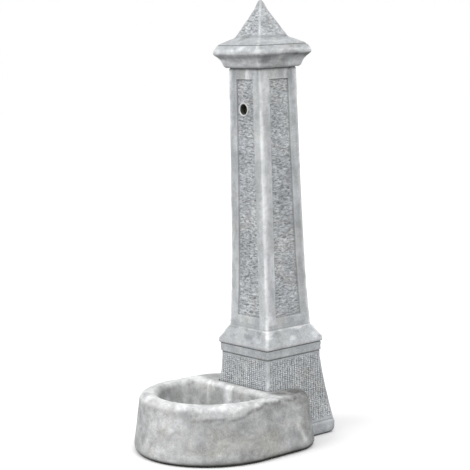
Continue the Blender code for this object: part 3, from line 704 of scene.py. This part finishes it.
def chisel_relief(grid, seed):
    """Short, mostly level chisel strokes, as a height from -1 to 1."""
    run = face_run(grid)
    run[..., 2] += 0.003 * noise(run, (0.02, 0.016), seed)
    strokes = noise(run, (0.011, 0.0036), seed + 1)
    strokes = strokes + 0.45 * noise(run, (0.0055, 0.0028), seed + 2)
    return np.clip(strokes / 1.1, -1, 1)


def weave_relief(grid, seed):
    """Level and upright rows of small knobs, stronger in some places than in others, from -1 to 1."""
    run = face_run(grid)
    rise = run[..., 2] + 0.0016 * noise(run, (0.024, 0.012), seed)
    across = run[..., 0] + 0.0024 * noise(run, (0.018, 0.008), seed + 4)
    level = 1 + np.sin(2 * pi * rise / WEAVE_PITCH)
    upright = 1 + np.sin(2 * pi * across / WEAVE_WIDTH)
    knobs = 0.5 * level * upright - 0.5
    strength = 0.55 + 0.4 * noise(run, 0.035, seed + 5)
    return np.clip(strength * knobs + 0.6 * noise(run, 0.0045, seed + 3), -1, 1)


def hand_finish(grid, seed):
    """The slight unevenness of a cast and rubbed surface, in metres."""
    return 0.00045 * fractal(grid, 0.055, 3, seed) + 0.00012 * noise(grid, 0.006, seed + 9)


def chipped(corner, grid, seed):
    """How far the arrises are worn back, in metres."""
    bites = np.clip(noise(grid, 0.016, seed), 0, 1) ** 2
    return corner * (0.0001 + 0.0012 * bites)


def off_corner(corner):
    """1 on the faces, 0 next to their arrises."""
    return 1 - np.clip(corner * 1.4, 0, 1)


def near_arris(grid, half_at):
    """Distance over the surface from the arris between the front and the right-hand face."""
    half = np.vectorize(half_at)(grid[:, :1, 2])
    return np.abs(half - (grid[..., 0] - AXIS[0])) + np.abs(grid[..., 1] - AXIS[1] + half)


def on_right(grid):
    """1 on the right-hand and rear faces, 0 on the front and left-hand ones."""
    return ease(-0.01, 0.01, grid[..., 0] - AXIS[0] + grid[..., 1] - AXIS[1])


def displaced(grid, height, closed=False):
    return grid + grid_normals(grid, closed) * height[..., None]


def marks_of(wear, tooled, relief, darkening):
    return np.stack(np.broadcast_arrays(wear, tooled, relief, darkening), -1)


def cast(node_name, grid, height, marks, cutters, material):
    """Adds a casting in place of its CAD node: a skin moved out by height, with its holes cut."""
    skin = clip_to(displaced(grid, height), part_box(node_name))
    mesh = carved(grid_mesh(node_name, skin, marks, False), cutters)
    add_casting(node_name + "_casting", mesh, material, node_name)
    return mesh


# ---- pedestal, column and cap


def pedestal_half(z):
    fall = min(max((FLARE_TOP_Z - z) / (FLARE_TOP_Z - FLARE_FOOT_Z), 0.0), 1.0)
    return PEDESTAL_TOP_HALF + PEDESTAL_FLARE * fall ** (4 / 3)


def shaft_half(z):
    fall = (COLUMN_TOP - z) / (COLUMN_TOP - SHAFT_FOOT_Z)
    return SHAFT_TOP_HALF + SHAFT_TAPER * fall + SHAFT_FOOT_FLARE * fall**6


def plain_face(count):
    def across(half, flat):
        return np.linspace(-flat, flat, count)

    return across


def panelled_face(half, flat):
    """Places across one shaft face, with rows of points that follow the panel's edges."""
    panel = half - PANEL_MARGIN
    edge = [panel - PANEL_BEVEL / 2, panel]
    right = np.concatenate([np.linspace(0, panel - PANEL_BEVEL, 17), edge, np.linspace(panel, flat, 6)[1:]])
    return np.concatenate([-right[:0:-1], right])


def pedestal_levels():
    flare = [(z, pedestal_half(z), 0.006) for z in np.linspace(FLARE_FOOT_Z, PEDESTAL_TOP, 24)]
    levels = resample([*PEDESTAL_FOOT, *flare], spacing=0.00128, softness=0.001)
    levels[:, 0] = np.clip(levels[:, 0], 0, PEDESTAL_TOP)
    return levels


def pedestal_stains_and_shade(grid):
    """Wear and darkening: the arris between front and right rubbed pale, grime with painted groove shade in the
    cove and at the top joint, grime on the foot, and a painted contact shadow along the bottom edge.
    """
    z = grid[..., 2]
    blotch = ease(0.0, 0.55, noise(grid, (0.012, 0.016), 37))
    arris = np.exp(-near_arris(grid, pedestal_half) / 0.007)
    wear = 0.9 * blotch * arris * (1 - ease(0.215, 0.236, z)) + bands(z, PEDESTAL_RUBBED)
    # Painted contact shadow: darker over the lowest 6 mm, where the casting meets the floor.
    darkening = bands(z, PEDESTAL_GRIME_AND_SHADE) + 0.5 * ease(0.006, 0.0, z)
    return wear, darkening + 0.2 * ease(0.042, 0.038, z) * (0.4 + blotch)


def at_cover():
    """The middle of the service cover, with x across it, y down it and z straight out of it."""
    travel = next(joint for joint in frame["joints"] if joint["name"] == "cover_removal")
    normal = Vector(travel["axis"]).normalized()
    lean = Matrix.Rotation(np.arctan2(normal.z, normal.y), 4, "X")
    return Matrix.Translation(Vector(middle_of("access_cover"))) @ lean @ along_y()


def pedestal_cutters():
    """The chamber, the pipe's way up, the service opening, its cover's seat, and the plug and dowel holes."""
    plugs = [rod(PLUG_HOLE_R, -PLUG_HOLE_DEPTH, 0.0, 16, place) for place in PLUG_HOLES]
    dowel_foot = PEDESTAL_TOP - PEDESTAL_DOWEL_DEPTH
    return [
        placed(block(CHAMBER_HALF, CHAMBER_HALF, -OVERCUT, CHAMBER_TOP, CHAMBER_CORNER), at_axis()),
        core_hole(CHAMBER_TOP - 2 * OVERCUT, PEDESTAL_TOP + OVERCUT),
        *[placed(cut, at_cover()) for cut in (block(*SERVICE_OPENING), block(*COVER_SEAT), *plugs)],
        *[dowel_hole(dowel_foot, PEDESTAL_TOP + OVERCUT, at) for at in DOWEL_OFFSETS],
    ]


def build_pedestal(material):
    grid, _, corner = square_grid(pedestal_levels(), plain_face(100))
    tooled = between(grid[..., 2], PEDESTAL_FACES) * off_corner(corner)
    relief = weave_relief(grid, 31) * tooled
    height = TOOLING_DEPTH * relief + hand_finish(grid, 5) - chipped(corner, grid, 7)
    wear, darkening = pedestal_stains_and_shade(grid)
    # relief * 0.8 in the marks paints shade in the weave's hollows and highlight on its knobs.
    cast("pedestal", grid, height, marks_of(wear, tooled, relief * 0.8, darkening), pedestal_cutters(), material)


def column_levels():
    """The moulded foot and the shaft, with levels that follow the panels' edges."""
    foot = [*COLUMN_MOULDING, (SHAFT_FOOT_Z, shaft_half(SHAFT_FOOT_Z), SHAFT_CORNER)]
    heights = np.concatenate(
        [
            np.arange(SHAFT_FOOT_Z + 0.002, PANEL_BOTTOM - 0.001, 0.0024),
            [PANEL_BOTTOM, PANEL_BOTTOM + PANEL_BEVEL / 2],
            np.linspace(PANEL_BOTTOM + PANEL_BEVEL, PANEL_TOP - PANEL_BEVEL, 340),
            [PANEL_TOP - PANEL_BEVEL / 2, PANEL_TOP],
            np.linspace(PANEL_TOP + 0.002, COLUMN_TOP, 14),
        ]
    )
    shaft = np.array([(z, shaft_half(z), SHAFT_CORNER) for z in heights])
    return np.concatenate([resample(foot, spacing=0.0013, softness=0.0007), shaft])


def moulding_stains_and_shade(grid, right):
    """Wear and darkening of the column's moulded foot: lime, dark blots and bands, the dark bands being grime with
    painted groove shade.
    """
    z = grid[..., 2]
    moulding = (z > 0.272) * (z < 0.322)
    lime = ease(0.05, 0.4, fractal(grid, (0.026, 0.014), 4, 50))
    blots = ease(-0.05, 0.4, fractal(grid, (0.034, 0.022), 4, 47)) * ease(0.272, 0.278, z)
    wear = (0.3 + 0.3 * right) * lime * moulding + bands(z, COLUMN_RUBBED)
    return wear, (0.34 * blots + 0.12 * (1 - right)) * moulding + bands(z, COLUMN_GRIME_AND_SHADE)


def column_stains_and_shade(grid, corner, inside, tooled):
    """Wear and darkening of the column: rubbed arrises and panel edges, painted shade along the panels' sunk
    edges, and patches on its plain parts.
    """
    z, right = grid[..., 2], on_right(grid)
    head = ease(1.015, 1.03, z)
    plain = (1 - tooled) * (z > SHAFT_FOOT_Z)
    patches = fractal(grid, (0.018, 0.065), 4, 48) * plain
    broken = 0.75 + 0.45 * noise(grid, (0.012, 0.026), 42)
    lip = groove(inside, 0.0, 0.0024) * (inside < 0.0006)
    pale = np.exp(-near_arris(grid, shaft_half) / 0.026) * (0.12 + right)
    pale *= (0.8 + 0.4 * noise(grid, (0.03, 0.09), 43))
    wear, darkening = moulding_stains_and_shade(grid, right)
    wear += 1.1 * corner * broken * ease(0.25, 0.3, z) + 0.35 * lip + pale * plain
    wear += (0.26 + 0.6 * head * (1 - right)) * ease(-0.05, 0.45, patches)
    darkening += (0.14 + (0.1 + 0.2 * right) * head) * ease(0.0, 0.35, -patches)
    # Panels a little darker lower down, and painted shade: a dark line just inside each panel's sunk edge.
    darkening += 0.07 * tooled * ease(0.6, 0.42, z) + 0.32 * groove(inside, 0.0014, 0.0014)
    return wear, darkening


def column_cutters(outlet_x, outlet_z):
    """The pipe's way up, the outlet hole and the dowel holes at both ends."""
    outlet = Matrix.Translation((outlet_x, AXIS[1], outlet_z)) @ along_y()
    return [
        core_hole(COLUMN_FOOT - OVERCUT, CORE_TOP),
        placed(rod(OUTLET_HOLE_R, -OUTLET_DEPTH, 0.0), outlet),
        dowel_hole(COLUMN_TOP - HEAD_DOWEL_DEPTH, COLUMN_TOP + OVERCUT),
        *[dowel_hole(COLUMN_FOOT - OVERCUT, COLUMN_FOOT + COLUMN_DOWEL_DEPTH, at) for at in DOWEL_OFFSETS],
    ]


def build_column(material):
    levels = column_levels()
    grid, place, corner = square_grid(levels, panelled_face)
    z, half = levels[:, :1], levels[:, 1:2]
    inside = np.minimum(half - PANEL_MARGIN - np.abs(place), np.minimum(z - PANEL_BOTTOM, PANEL_TOP - z))
    sunk = np.clip(inside / PANEL_BEVEL, 0, 1)
    tooled = ease(0.0012, 0.0035, inside)
    relief = chisel_relief(grid, 11) * tooled
    height = -PANEL_DEPTH * sunk + PANEL_TOOLING_DEPTH * relief
    height = height + hand_finish(grid, 3) - chipped(corner, grid, 2)
    wear, darkening = column_stains_and_shade(grid, corner, inside, tooled)
    # relief * 0.5 in the marks paints shade in the chisel strokes' hollows and highlight on their ridges.
    marks = marks_of(wear, tooled, relief * 0.5, darkening)
    outlet_x, _, outlet_z = middle_of("outlet_socket")
    mesh = cast("column", grid, height, marks, column_cutters(outlet_x, outlet_z), material)
    # Painted shade inside the outlet hole.
    shade_hole(mesh, outlet_x, outlet_z)


def shade_hole(mesh, x, z):
    """Painted shade: darkens the wall of the outlet hole almost to black."""
    for vertex, mark in zip(mesh.vertices, mesh.color_attributes["marks"].data):
        away = np.hypot(vertex.co.x - x, vertex.co.z - z)
        if away < OUTLET_HOLE_R + 0.0002 and vertex.co.y < AXIS[1]:
            mark.color = (0.0, 0.0, 0.0, 1.7)


def cap_levels():
    levels = resample(CAP_OUTLINE, spacing=0.0016, softness=0.0007)
    levels[:, 1] = np.maximum(levels[:, 1], 0.001)
    levels[:, 2] = np.minimum(levels[:, 2], levels[:, 1] * 0.6)
    levels[:, 0] = np.clip(levels[:, 0], CAP_FOOT, TIP)
    return levels


def cap_grime_and_shade(grid, right, cloud):
    """Soot with painted shadow under the overhang, grime with painted shade in the grooves, soot on the slope, at
    the tip and in clouds on the mouldings.
    """
    z = grid[..., 2]
    under = between(z, UNDERSIDE)
    ragged = patchy(grid, (0.018, 0.01), 45)
    sooty = ease(-0.15, 0.35, fractal(grid, (0.03, 0.01), 4, 46))
    smudge = patchy(grid, (0.05, 0.012), 41)
    # Painted shadow under the torus's overhang, mixed with soot, stronger on the right-hand side; the bands are
    # grime with painted groove shade.
    darkening = bands(z, CAP_GRIME_AND_SHADE) + 0.2 * under * smudge * groove(z, 1.094, 0.01)
    darkening += 0.4 * right * groove(z, 1.1195, 0.005) * ease(0.35, 0.75, ragged)
    darkening += right * (0.95 * groove(z, 1.0965, 0.004) + 0.2 * under) * ragged
    darkening += (0.26 - 0.12 * right) * ease(1.218, 1.236, z)
    darkening += between(z, CAP_SLOPE) * (0.27 - 0.08 * right) * (0.3 + 1.3 * sooty)
    return darkening + (0.16 + 0.14 * right) * ease(0.05, 0.4, -cloud)


def cap_wear(grid, corner, right, tooled, cloud):
    """Arrises and overhang rubbed pale, and pale patches on the mouldings."""
    z = grid[..., 2]
    broken = 0.6 + 0.6 * noise(grid, (0.01, 0.014), 44)
    pale = ease(0.45, 0.9, patchy(grid, (0.03, 0.012), 49))
    wear = 0.55 * corner * broken + 0.22 * tooled * right + bands(z, CAP_RUBBED)
    wear += (0.34 + 0.6 * pale) * groove(z, 1.075, 0.016) * (1 - 0.5 * right)
    return wear + 0.35 * ease(0.05, 0.4, cloud)


def build_cap(material):
    grid, _, corner = square_grid(cap_levels(), plain_face(56))
    z, right = grid[..., 2], on_right(grid)
    swell = between(z, CAPITAL)
    tooled = between(z, PYRAMID) * off_corner(corner)
    relief = chisel_relief(grid, 23) * tooled
    uneven = 0.0006 * swell * fractal(grid, (0.04, 0.014), 3, 21)
    height = TOOLING_DEPTH * relief + hand_finish(grid, 13) + uneven - chipped(corner, grid, 19)
    height *= (1 - ease(1.225, 1.245, z))
    cloud = fractal(grid, (0.032, 0.012), 4, 55) * swell
    # relief * 0.5 in the marks paints shade in the chisel strokes' hollows and highlight on their ridges.
    marks = marks_of(
        cap_wear(grid, corner, right, tooled, cloud), tooled, relief * 0.5, cap_grime_and_shade(grid, right, cloud)
    )
    cast("cap", grid, height, marks, [dowel_hole(CAP_FOOT - OVERCUT, CAP_FOOT + CAP_DOWEL_DEPTH)], material)


# ---- basin


def basin_ring(half, rear_y, corner, z):
    """A plan with a half-round front and rounded rear corners, evenly spaced round its edge."""
    centre_x, centre_y = half - corner, rear_y - corner
    turn = np.linspace(0, pi / 2, 24)
    right = np.stack([centre_x + corner * np.cos(turn), centre_y + corner * np.sin(turn)], 1)
    left = np.stack([-centre_x - corner * np.sin(turn), centre_y + corner * np.cos(turn)], 1)
    turn = np.linspace(pi, 2 * pi, 90)
    front = np.stack([half * np.cos(turn), BASIN_CENTRE_Y + half * np.sin(turn)], 1)
    outline = np.concatenate([right, left, front, right[:1]])
    run = np.concatenate([[0], np.cumsum(np.linalg.norm(np.diff(outline, axis=0), axis=1))])
    at = anchored_run(run)
    x, y = np.interp(at, run, outline[:, 0]), np.interp(at, run, outline[:, 1])
    fall = RIM_SLOPE * (y - BASIN_CENTRE_Y) + ARM_SLOPE * np.clip(y - ARM_START_Y, 0, None)
    return np.stack([x, y, z - fall * z / BASIN_HEIGHT], 1)


def anchored_run(run):
    """Distances round an outline, with the same number of points between the same landmarks on every ring."""
    parts = zip(RING_STARTS, RING_STARTS[1:], RING_COUNTS)
    return np.concatenate([np.linspace(run[start], run[end], n, endpoint=False) for start, end, n in parts])


def bowl_ring(inset, z):
    return basin_ring(BOWL_HALF - inset, BOWL_REAR_Y - inset, BOWL_CORNER - 0.3 * inset, z)


def circle_like(ring, centre, radius, z):
    """The points of ring moved radially on to a circle."""
    rel = ring[:, :2] - np.array(centre)
    rel = rel / np.linalg.norm(rel, axis=1, keepdims=True) * radius
    return np.column_stack([rel + np.array(centre), np.full(len(ring), z)])


def straight(start, end, count):
    """Points (inset, height) on a line from start to end, without start."""
    heights = np.linspace(start[1], end[1], count)[1:]
    return [(start[0] + (end[0] - start[0]) * (z - start[1]) / (end[1] - start[1]), z) for z in heights]


def rounded(start, end, steps, level_last):
    """Points (inset, height) of a quarter ellipse after start, level at its end or else at its start."""
    points = []
    for i in range(1, steps + 1):
        a = i / steps * pi / 2
        inward, upward = (1 - cos(a), sin(a)) if level_last else (sin(a), 1 - cos(a))
        points.append((start[0] + (end[0] - start[0]) * inward, start[1] + (end[1] - start[1]) * upward))
    return points


def bridged(start, end, count):
    """Rings that change evenly from start to end, without start."""
    return [start * (1 - t) + end * t for t in np.linspace(0, 1, count + 1)[1:]]


def outside_rings():
    outline = [BASIN_UNDER, *rounded(BASIN_UNDER, BASIN_EDGE, 7, False)]
    outline += straight(BASIN_EDGE, BASIN_SHOULDER, 38) + rounded(BASIN_SHOULDER, BASIN_RIM, 12, True)
    return [basin_ring(BASIN_HALF - d, BASIN_REAR_Y - 0.6 * d, BASIN_CORNER - d, z) for d, z in outline]


def bowl_rings():
    outline = rounded(BOWL_LIP, BOWL_THROAT, 9, False) + straight(BOWL_THROAT, BOWL_FOOT, 22)
    return [bowl_ring(inset, z) for inset, z in outline + rounded(BOWL_FOOT, BOWL_FLOOR, 9, True)]


def build_basin(material):
    """One skin: up the outside, across the rim, down the bowl and the drain, and back under the floor."""
    outside, bowl = outside_rings(), bowl_rings()
    drain_x, drain_y, _ = middle_of("drain_body")
    drain_at = (drain_x - BASIN_X, drain_y - AXIS[1])
    rings = outside + bridged(outside[-1], bowl_ring(*BOWL_LIP), RIM_RINGS) + bowl
    rings += bridged(bowl[-1], circle_like(bowl[-1], drain_at, *DRAIN_REBATE), 21)
    rings += [circle_like(bowl[-1], drain_at, radius, z) for radius, z in DRAIN_OUTLINE]
    rings += bridged(rings[-1], rings[0], 8)[:-1]
    grid = np.stack(rings) + np.array([BASIN_X, AXIS[1], 0])
    z = grid[..., 2]
    rows = np.arange(len(rings))[:, None] - len(outside)
    lumps = 0.001 * fractal(grid, (0.11, 0.08), 3, 51) + 0.0004 * noise(grid, 0.018, 52)
    pits = np.clip(noise(grid, 0.0065, 53) - 0.55, 0, 1)
    height = ease(0.004, 0.012, z) * (rows < AIRY_RINGS) * (-0.0011 + lumps - 0.0022 * pits)
    skin = clip_to(displaced(grid, height, True), BASIN_BOX)
    wear, darkening = basin_stains_and_shade(skin, rows > RIM_RINGS)
    # -0.6 * pits in the marks paints shade in the pits.
    mesh = grid_mesh("basin", skin, marks_of(wear, 0.0, -0.6 * pits, darkening), True)
    add_casting("basin_casting", carved(mesh, [notch_cutter()]), material, "basin")


def notch_outline(half, z):
    """A level outline of the notch, open to the rear and with rounded front corners."""
    corner, rear = 0.01, 0.06
    outline = [(half, rear, z)]
    for side, start in ((1, 0), (-1, -pi / 2)):
        for i in range(5):
            a = start - i / 4 * pi / 2
            outline.append((side * (half - corner) + corner * cos(a), corner - half + corner * sin(a), z))
    return [*outline, (-half, rear, z)]


def notch_cutter():
    """The room for the pedestal between the basin's arms."""
    foot = PEDESTAL_FOOT_HALF + NOTCH_GAP
    sizes = [(foot, -OVERCUT), (foot, FLARE_FOOT_Z - 0.003)]
    heights = np.linspace(FLARE_FOOT_Z, BASIN_HEIGHT + 2 * OVERCUT, 14)
    sizes += [(pedestal_half(z) + NOTCH_GAP, z) for z in heights]
    return placed(solid([notch_outline(half, z) for half, z in sizes]), at_axis())


def basin_stains_and_shade(grid, inward):
    """Wear and darkening of the basin: rim, water marks, runs in the bowl, painted shade on the arms' tops and a
    painted contact shadow at the foot.
    """
    x, y, z = grid[..., 0] - AXIS[0], grid[..., 1] - AXIS[1], grid[..., 2]
    patches, speckle = patchy(grid, (0.028, 0.034), 62), patchy(grid, 0.007, 63)
    cloud = fractal(grid, (0.045, 0.028), 4, 66)
    arms = ease(-0.128, -0.112, y)
    left = 1 - ease(0.085, 0.105, x + 0.012 * noise(grid, (0.03, 0.05), 64))
    right = ease(0.09, 0.14, x) * (1 - inward)
    tide = 0.127 + 0.024 * ease(-0.3, -0.19, y) + 0.006 * noise(grid, 0.03, 65)
    rough_wall = inward * (1 - ease(-0.15, -0.12, x)) * ease(0.15, 0.135, z)
    wear = 0.55 * ease(0.146, 0.158, z) * (1 - 0.8 * arms) * (0.5 + patches)
    wear += 0.26 * left * (1 - inward) * (0.25 + 1.2 * patches)
    wear += 0.5 * right * ease(tide, tide + 0.012, z) * patches
    wear += 1.6 * scuffs(grid) + inward * drips(x, y, z, speckle) + 0.2 * ease(0.05, 0.4, -cloud)
    darkening = 0.62 * right * groove(z, tide, 0.0048) * (0.3 + speckle)
    darkening += 0.1 * right * (1 - ease(tide - 0.004, tide, z)) + 0.14 * speckle * (1 - left)
    # Painted contact shadow along the foot, and painted shade on the arms' tops beside the pedestal.
    darkening += 1.5 * ease(0.014, 0.003, z) + 0.22 * arms * ease(0.12, 0.135, z) * (0.4 + patches)
    darkening += 0.02 * inward * ease(0.15, 0.12, z) + 0.15 * inward * ease(0.085, 0.06, z)
    darkening += 0.15 * ease(0.05, 0.4, cloud) + 0.25 * rough_wall * speckle
    return wear, np.clip(darkening, 0, 1.5)


def drips(x, y, z, speckle):
    """Pale runs down the bowl's rear wall, and one down its left wall."""
    runs = 0
    for at, width, low, strength in BOWL_RUNS:
        runs = runs + strength * np.exp(-(((x - at) / width) ** 4)) * ease(low, low + 0.03, z)
    end = np.exp(-(((y + 0.192) / 0.013) ** 4)) * ease(-0.11, -0.13, x) * ease(0.07, 0.1, z)
    return (runs * ease(-0.185, -0.165, y) + 0.55 * end) * (0.6 + 0.5 * speckle)


def scuffs(grid):
    """Pale rubbed marks low on the right-hand rear corner."""
    marks = 0
    for y, z in ((-0.083, 0.068), (-0.066, 0.036)):
        rel_y, rel_z = grid[..., 1] - AXIS[1] - y, grid[..., 2] - z
        slant = rel_y + 0.35 * rel_z
        marks = marks + np.exp(-((slant / 0.007) ** 2) - (rel_z / 0.018) ** 2)
    return marks * (grid[..., 0] > AXIS[0] + 0.15) * (0.6 + 0.4 * noise(grid, (0.006, 0.012), 71))


# ---- small mortar parts


def build_collar(material):
    """The smooth raised ring round the outlet hole."""
    low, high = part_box("outlet_collar")
    centre_x, _, centre_z = middle_of("outlet_collar")
    inner_r, outer_r = OUTLET_HOLE_R + 0.0002, half_width("outlet_collar")
    middle_r, reach = (inner_r + outer_r) / 2, (outer_r - inner_r) / 2
    outline = [(inner_r, 0.0)]
    for a in [pi * i / 12 for i in range(13)]:
        outline.append((middle_r - reach * cos(a), (high[1] - low[1]) * sin(a) ** 0.7))
    turn = 2 * pi * np.arange(72) / 72
    rings = []
    for radius, rise in outline:
        depth = np.full(len(turn), high[1] - rise)
        rings.append(np.stack([centre_x + radius * np.cos(turn), depth, centre_z + radius * np.sin(turn)], 1))
    grid = np.stack(rings)
    grid[..., 1] += np.clip(0.00025 * noise(grid, 0.008, 81), 0, None)
    wear = np.full(grid.shape[:2], 0.75)
    mesh = grid_mesh("collar", clip_to(grid, (low, high)), marks_of(wear, 0.0, 0.0, 0.0), True)
    add_casting("outlet_ring", mesh, material, "outlet_collar")


def build_joint(name, replaced, half, offsets, cored, material):
    """Rough pointing, set back a little, that fills the joint between two castings."""
    (_, _, low), (_, _, high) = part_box(replaced)
    levels = np.array([(z, half, JOINT_CORNER) for z in np.linspace(low, high, 5)])
    grid, _, corner = square_grid(levels, plain_face(120))
    height = 0.0007 * noise(grid, (0.007, 0.004), 91) + 0.0004 * noise(grid, 0.003, 92)
    grid = displaced(grid, height - 0.0006 * corner)
    grid[..., 2] = np.clip(grid[..., 2], low, high)
    darkening = 0.25 + 0.25 * noise(grid, 0.03, 93)
    mesh = grid_mesh(name, grid, marks_of(0.0, 0.0, 0.0, darkening), False)
    cutters = [dowel_hole(low - OVERCUT, high + OVERCUT, at) for at in offsets]
    if cored:
        cutters.append(core_hole(low - OVERCUT, high + OVERCUT))
    add_casting(name, carved(mesh, cutters), material, replaced)


def dress_frame(materials):
    """Gives every CAD node that stays its procedural material."""
    slots = {s["node"]: s["material_slot"] for s in frame["record"]["subparts"]}
    for name, obj in frame["nodes"].items():
        obj.data.materials.clear()
        obj.data.materials.append(materials["stained_brass" if name == "outlet_socket" else slots[name]])


# ---- studio


FLOOR_REACH = 14.0


def build_floor():
    floor_mesh = bpy.data.meshes.new("studio_floor")
    corners = [(x * FLOOR_REACH, y * FLOOR_REACH, 0) for x, y in ((-1, -1), (1, -1), (1, 1), (-1, 1))]
    floor_mesh.from_pydata(corners, [], [(0, 1, 2, 3)])
    mat, tree, shader = set_up("studio_floor")
    cloud = noise_at(tree, 1.5, 3.0)
    seen = node(tree, "LightPath").outputs["Is Camera Ray"]
    pale = ramp(tree, cloud, ((0.3, 0.93), (0.7, 0.95)))
    tree.links.new(blend(tree, seen, (0.3, 0.3, 0.3), pale), shader.inputs["Base Color"])
    shader.inputs["Roughness"].default_value = 0.9
    floor_mesh.materials.append(mat)
    floor = new_object("studio_floor", floor_mesh)
    floor.location.z = -0.0005


def build_lights():
    """Two very soft suns, from the front left and from the right."""
    target = Vector((AXIS[0], AXIS[1], 0.5))
    for name, direction, strength in (("key", (-0.35, -1.0, 0.85), 1.4), ("fill", (1.0, -0.35, 0.9), 1.35)):
        data = bpy.data.lights.new(name, "SUN")
        data.angle = radians(50)
        data.energy = strength
        light = new_object(name, data)
        light.location = target + Vector(direction) * 2
        light.rotation_euler = Vector(direction).to_track_quat("Z", "Y").to_euler()


def build_sky():
    """A soft overhead sky that is plain white where the camera sees it."""
    world = bpy.data.worlds.new("studio")
    world.use_nodes = True
    tree = world.node_tree
    background = tree.nodes["Background"]
    direction = node(tree, "TexCoord").outputs["Generated"]
    up = node(tree, "SeparateXYZ", {0: direction}).outputs[2]
    sky = ramp(tree, up, ((0.0, 0.62), (0.45, 0.8), (1.0, 0.8)))
    seen = node(tree, "LightPath").outputs["Is Camera Ray"]
    tree.links.new(blend(tree, seen, sky, (1.0, 1.0, 1.0)), background.inputs["Color"])
    bpy.context.scene.world = world


def turned(a, b, angle):
    """The perpendicular vectors a and b after a turn of a towards b."""
    return a * cos(angle) + b * sin(angle), b * cos(angle) - a * sin(angle)


def build_camera():
    azimuth, pitch, roll, yaw = radians(49.13), radians(8.05), radians(-1.88), radians(-1.21)
    distance, height = 4.397, 1.2055
    data = bpy.data.cameras.new("camera")
    data.sensor_width = 36.0
    data.lens = 118.55
    camera = new_object("camera", data)
    back = Vector((sin(azimuth), -cos(azimuth), 0))
    position = Vector((AXIS[0], AXIS[1], 0)) + back * distance + Vector((0, 0, height))
    up = Vector((0, 0, 1))
    forward, right = turned(-back, (-back).cross(up), yaw)
    forward, up = turned(forward, up, -pitch)
    right, up = turned(right, up, roll)
    turn = Matrix((right, up, -forward)).transposed().to_4x4()
    camera.matrix_world = Matrix.Translation(position) @ turn
    bpy.context.scene.camera = camera
    bpy.context.scene.view_settings.view_transform = "Standard"


materials = make_materials()
dress_frame(materials)
build_pedestal(materials["pedestal_stone"])
build_column(materials["cast_stone"])
build_cap(materials["cast_stone"])
build_basin(materials["basin_stone"])
mortar = materials["mortar"]
build_collar(mortar)
build_joint("pedestal_joint", "column_mortar_bed", PEDESTAL_JOINT_HALF, DOWEL_OFFSETS, True, mortar)
build_joint("cap_joint", "cap_mortar_bed", CAP_JOINT_HALF, (0.0,), False, mortar)
build_floor()
build_sky()
build_lights()
build_camera()
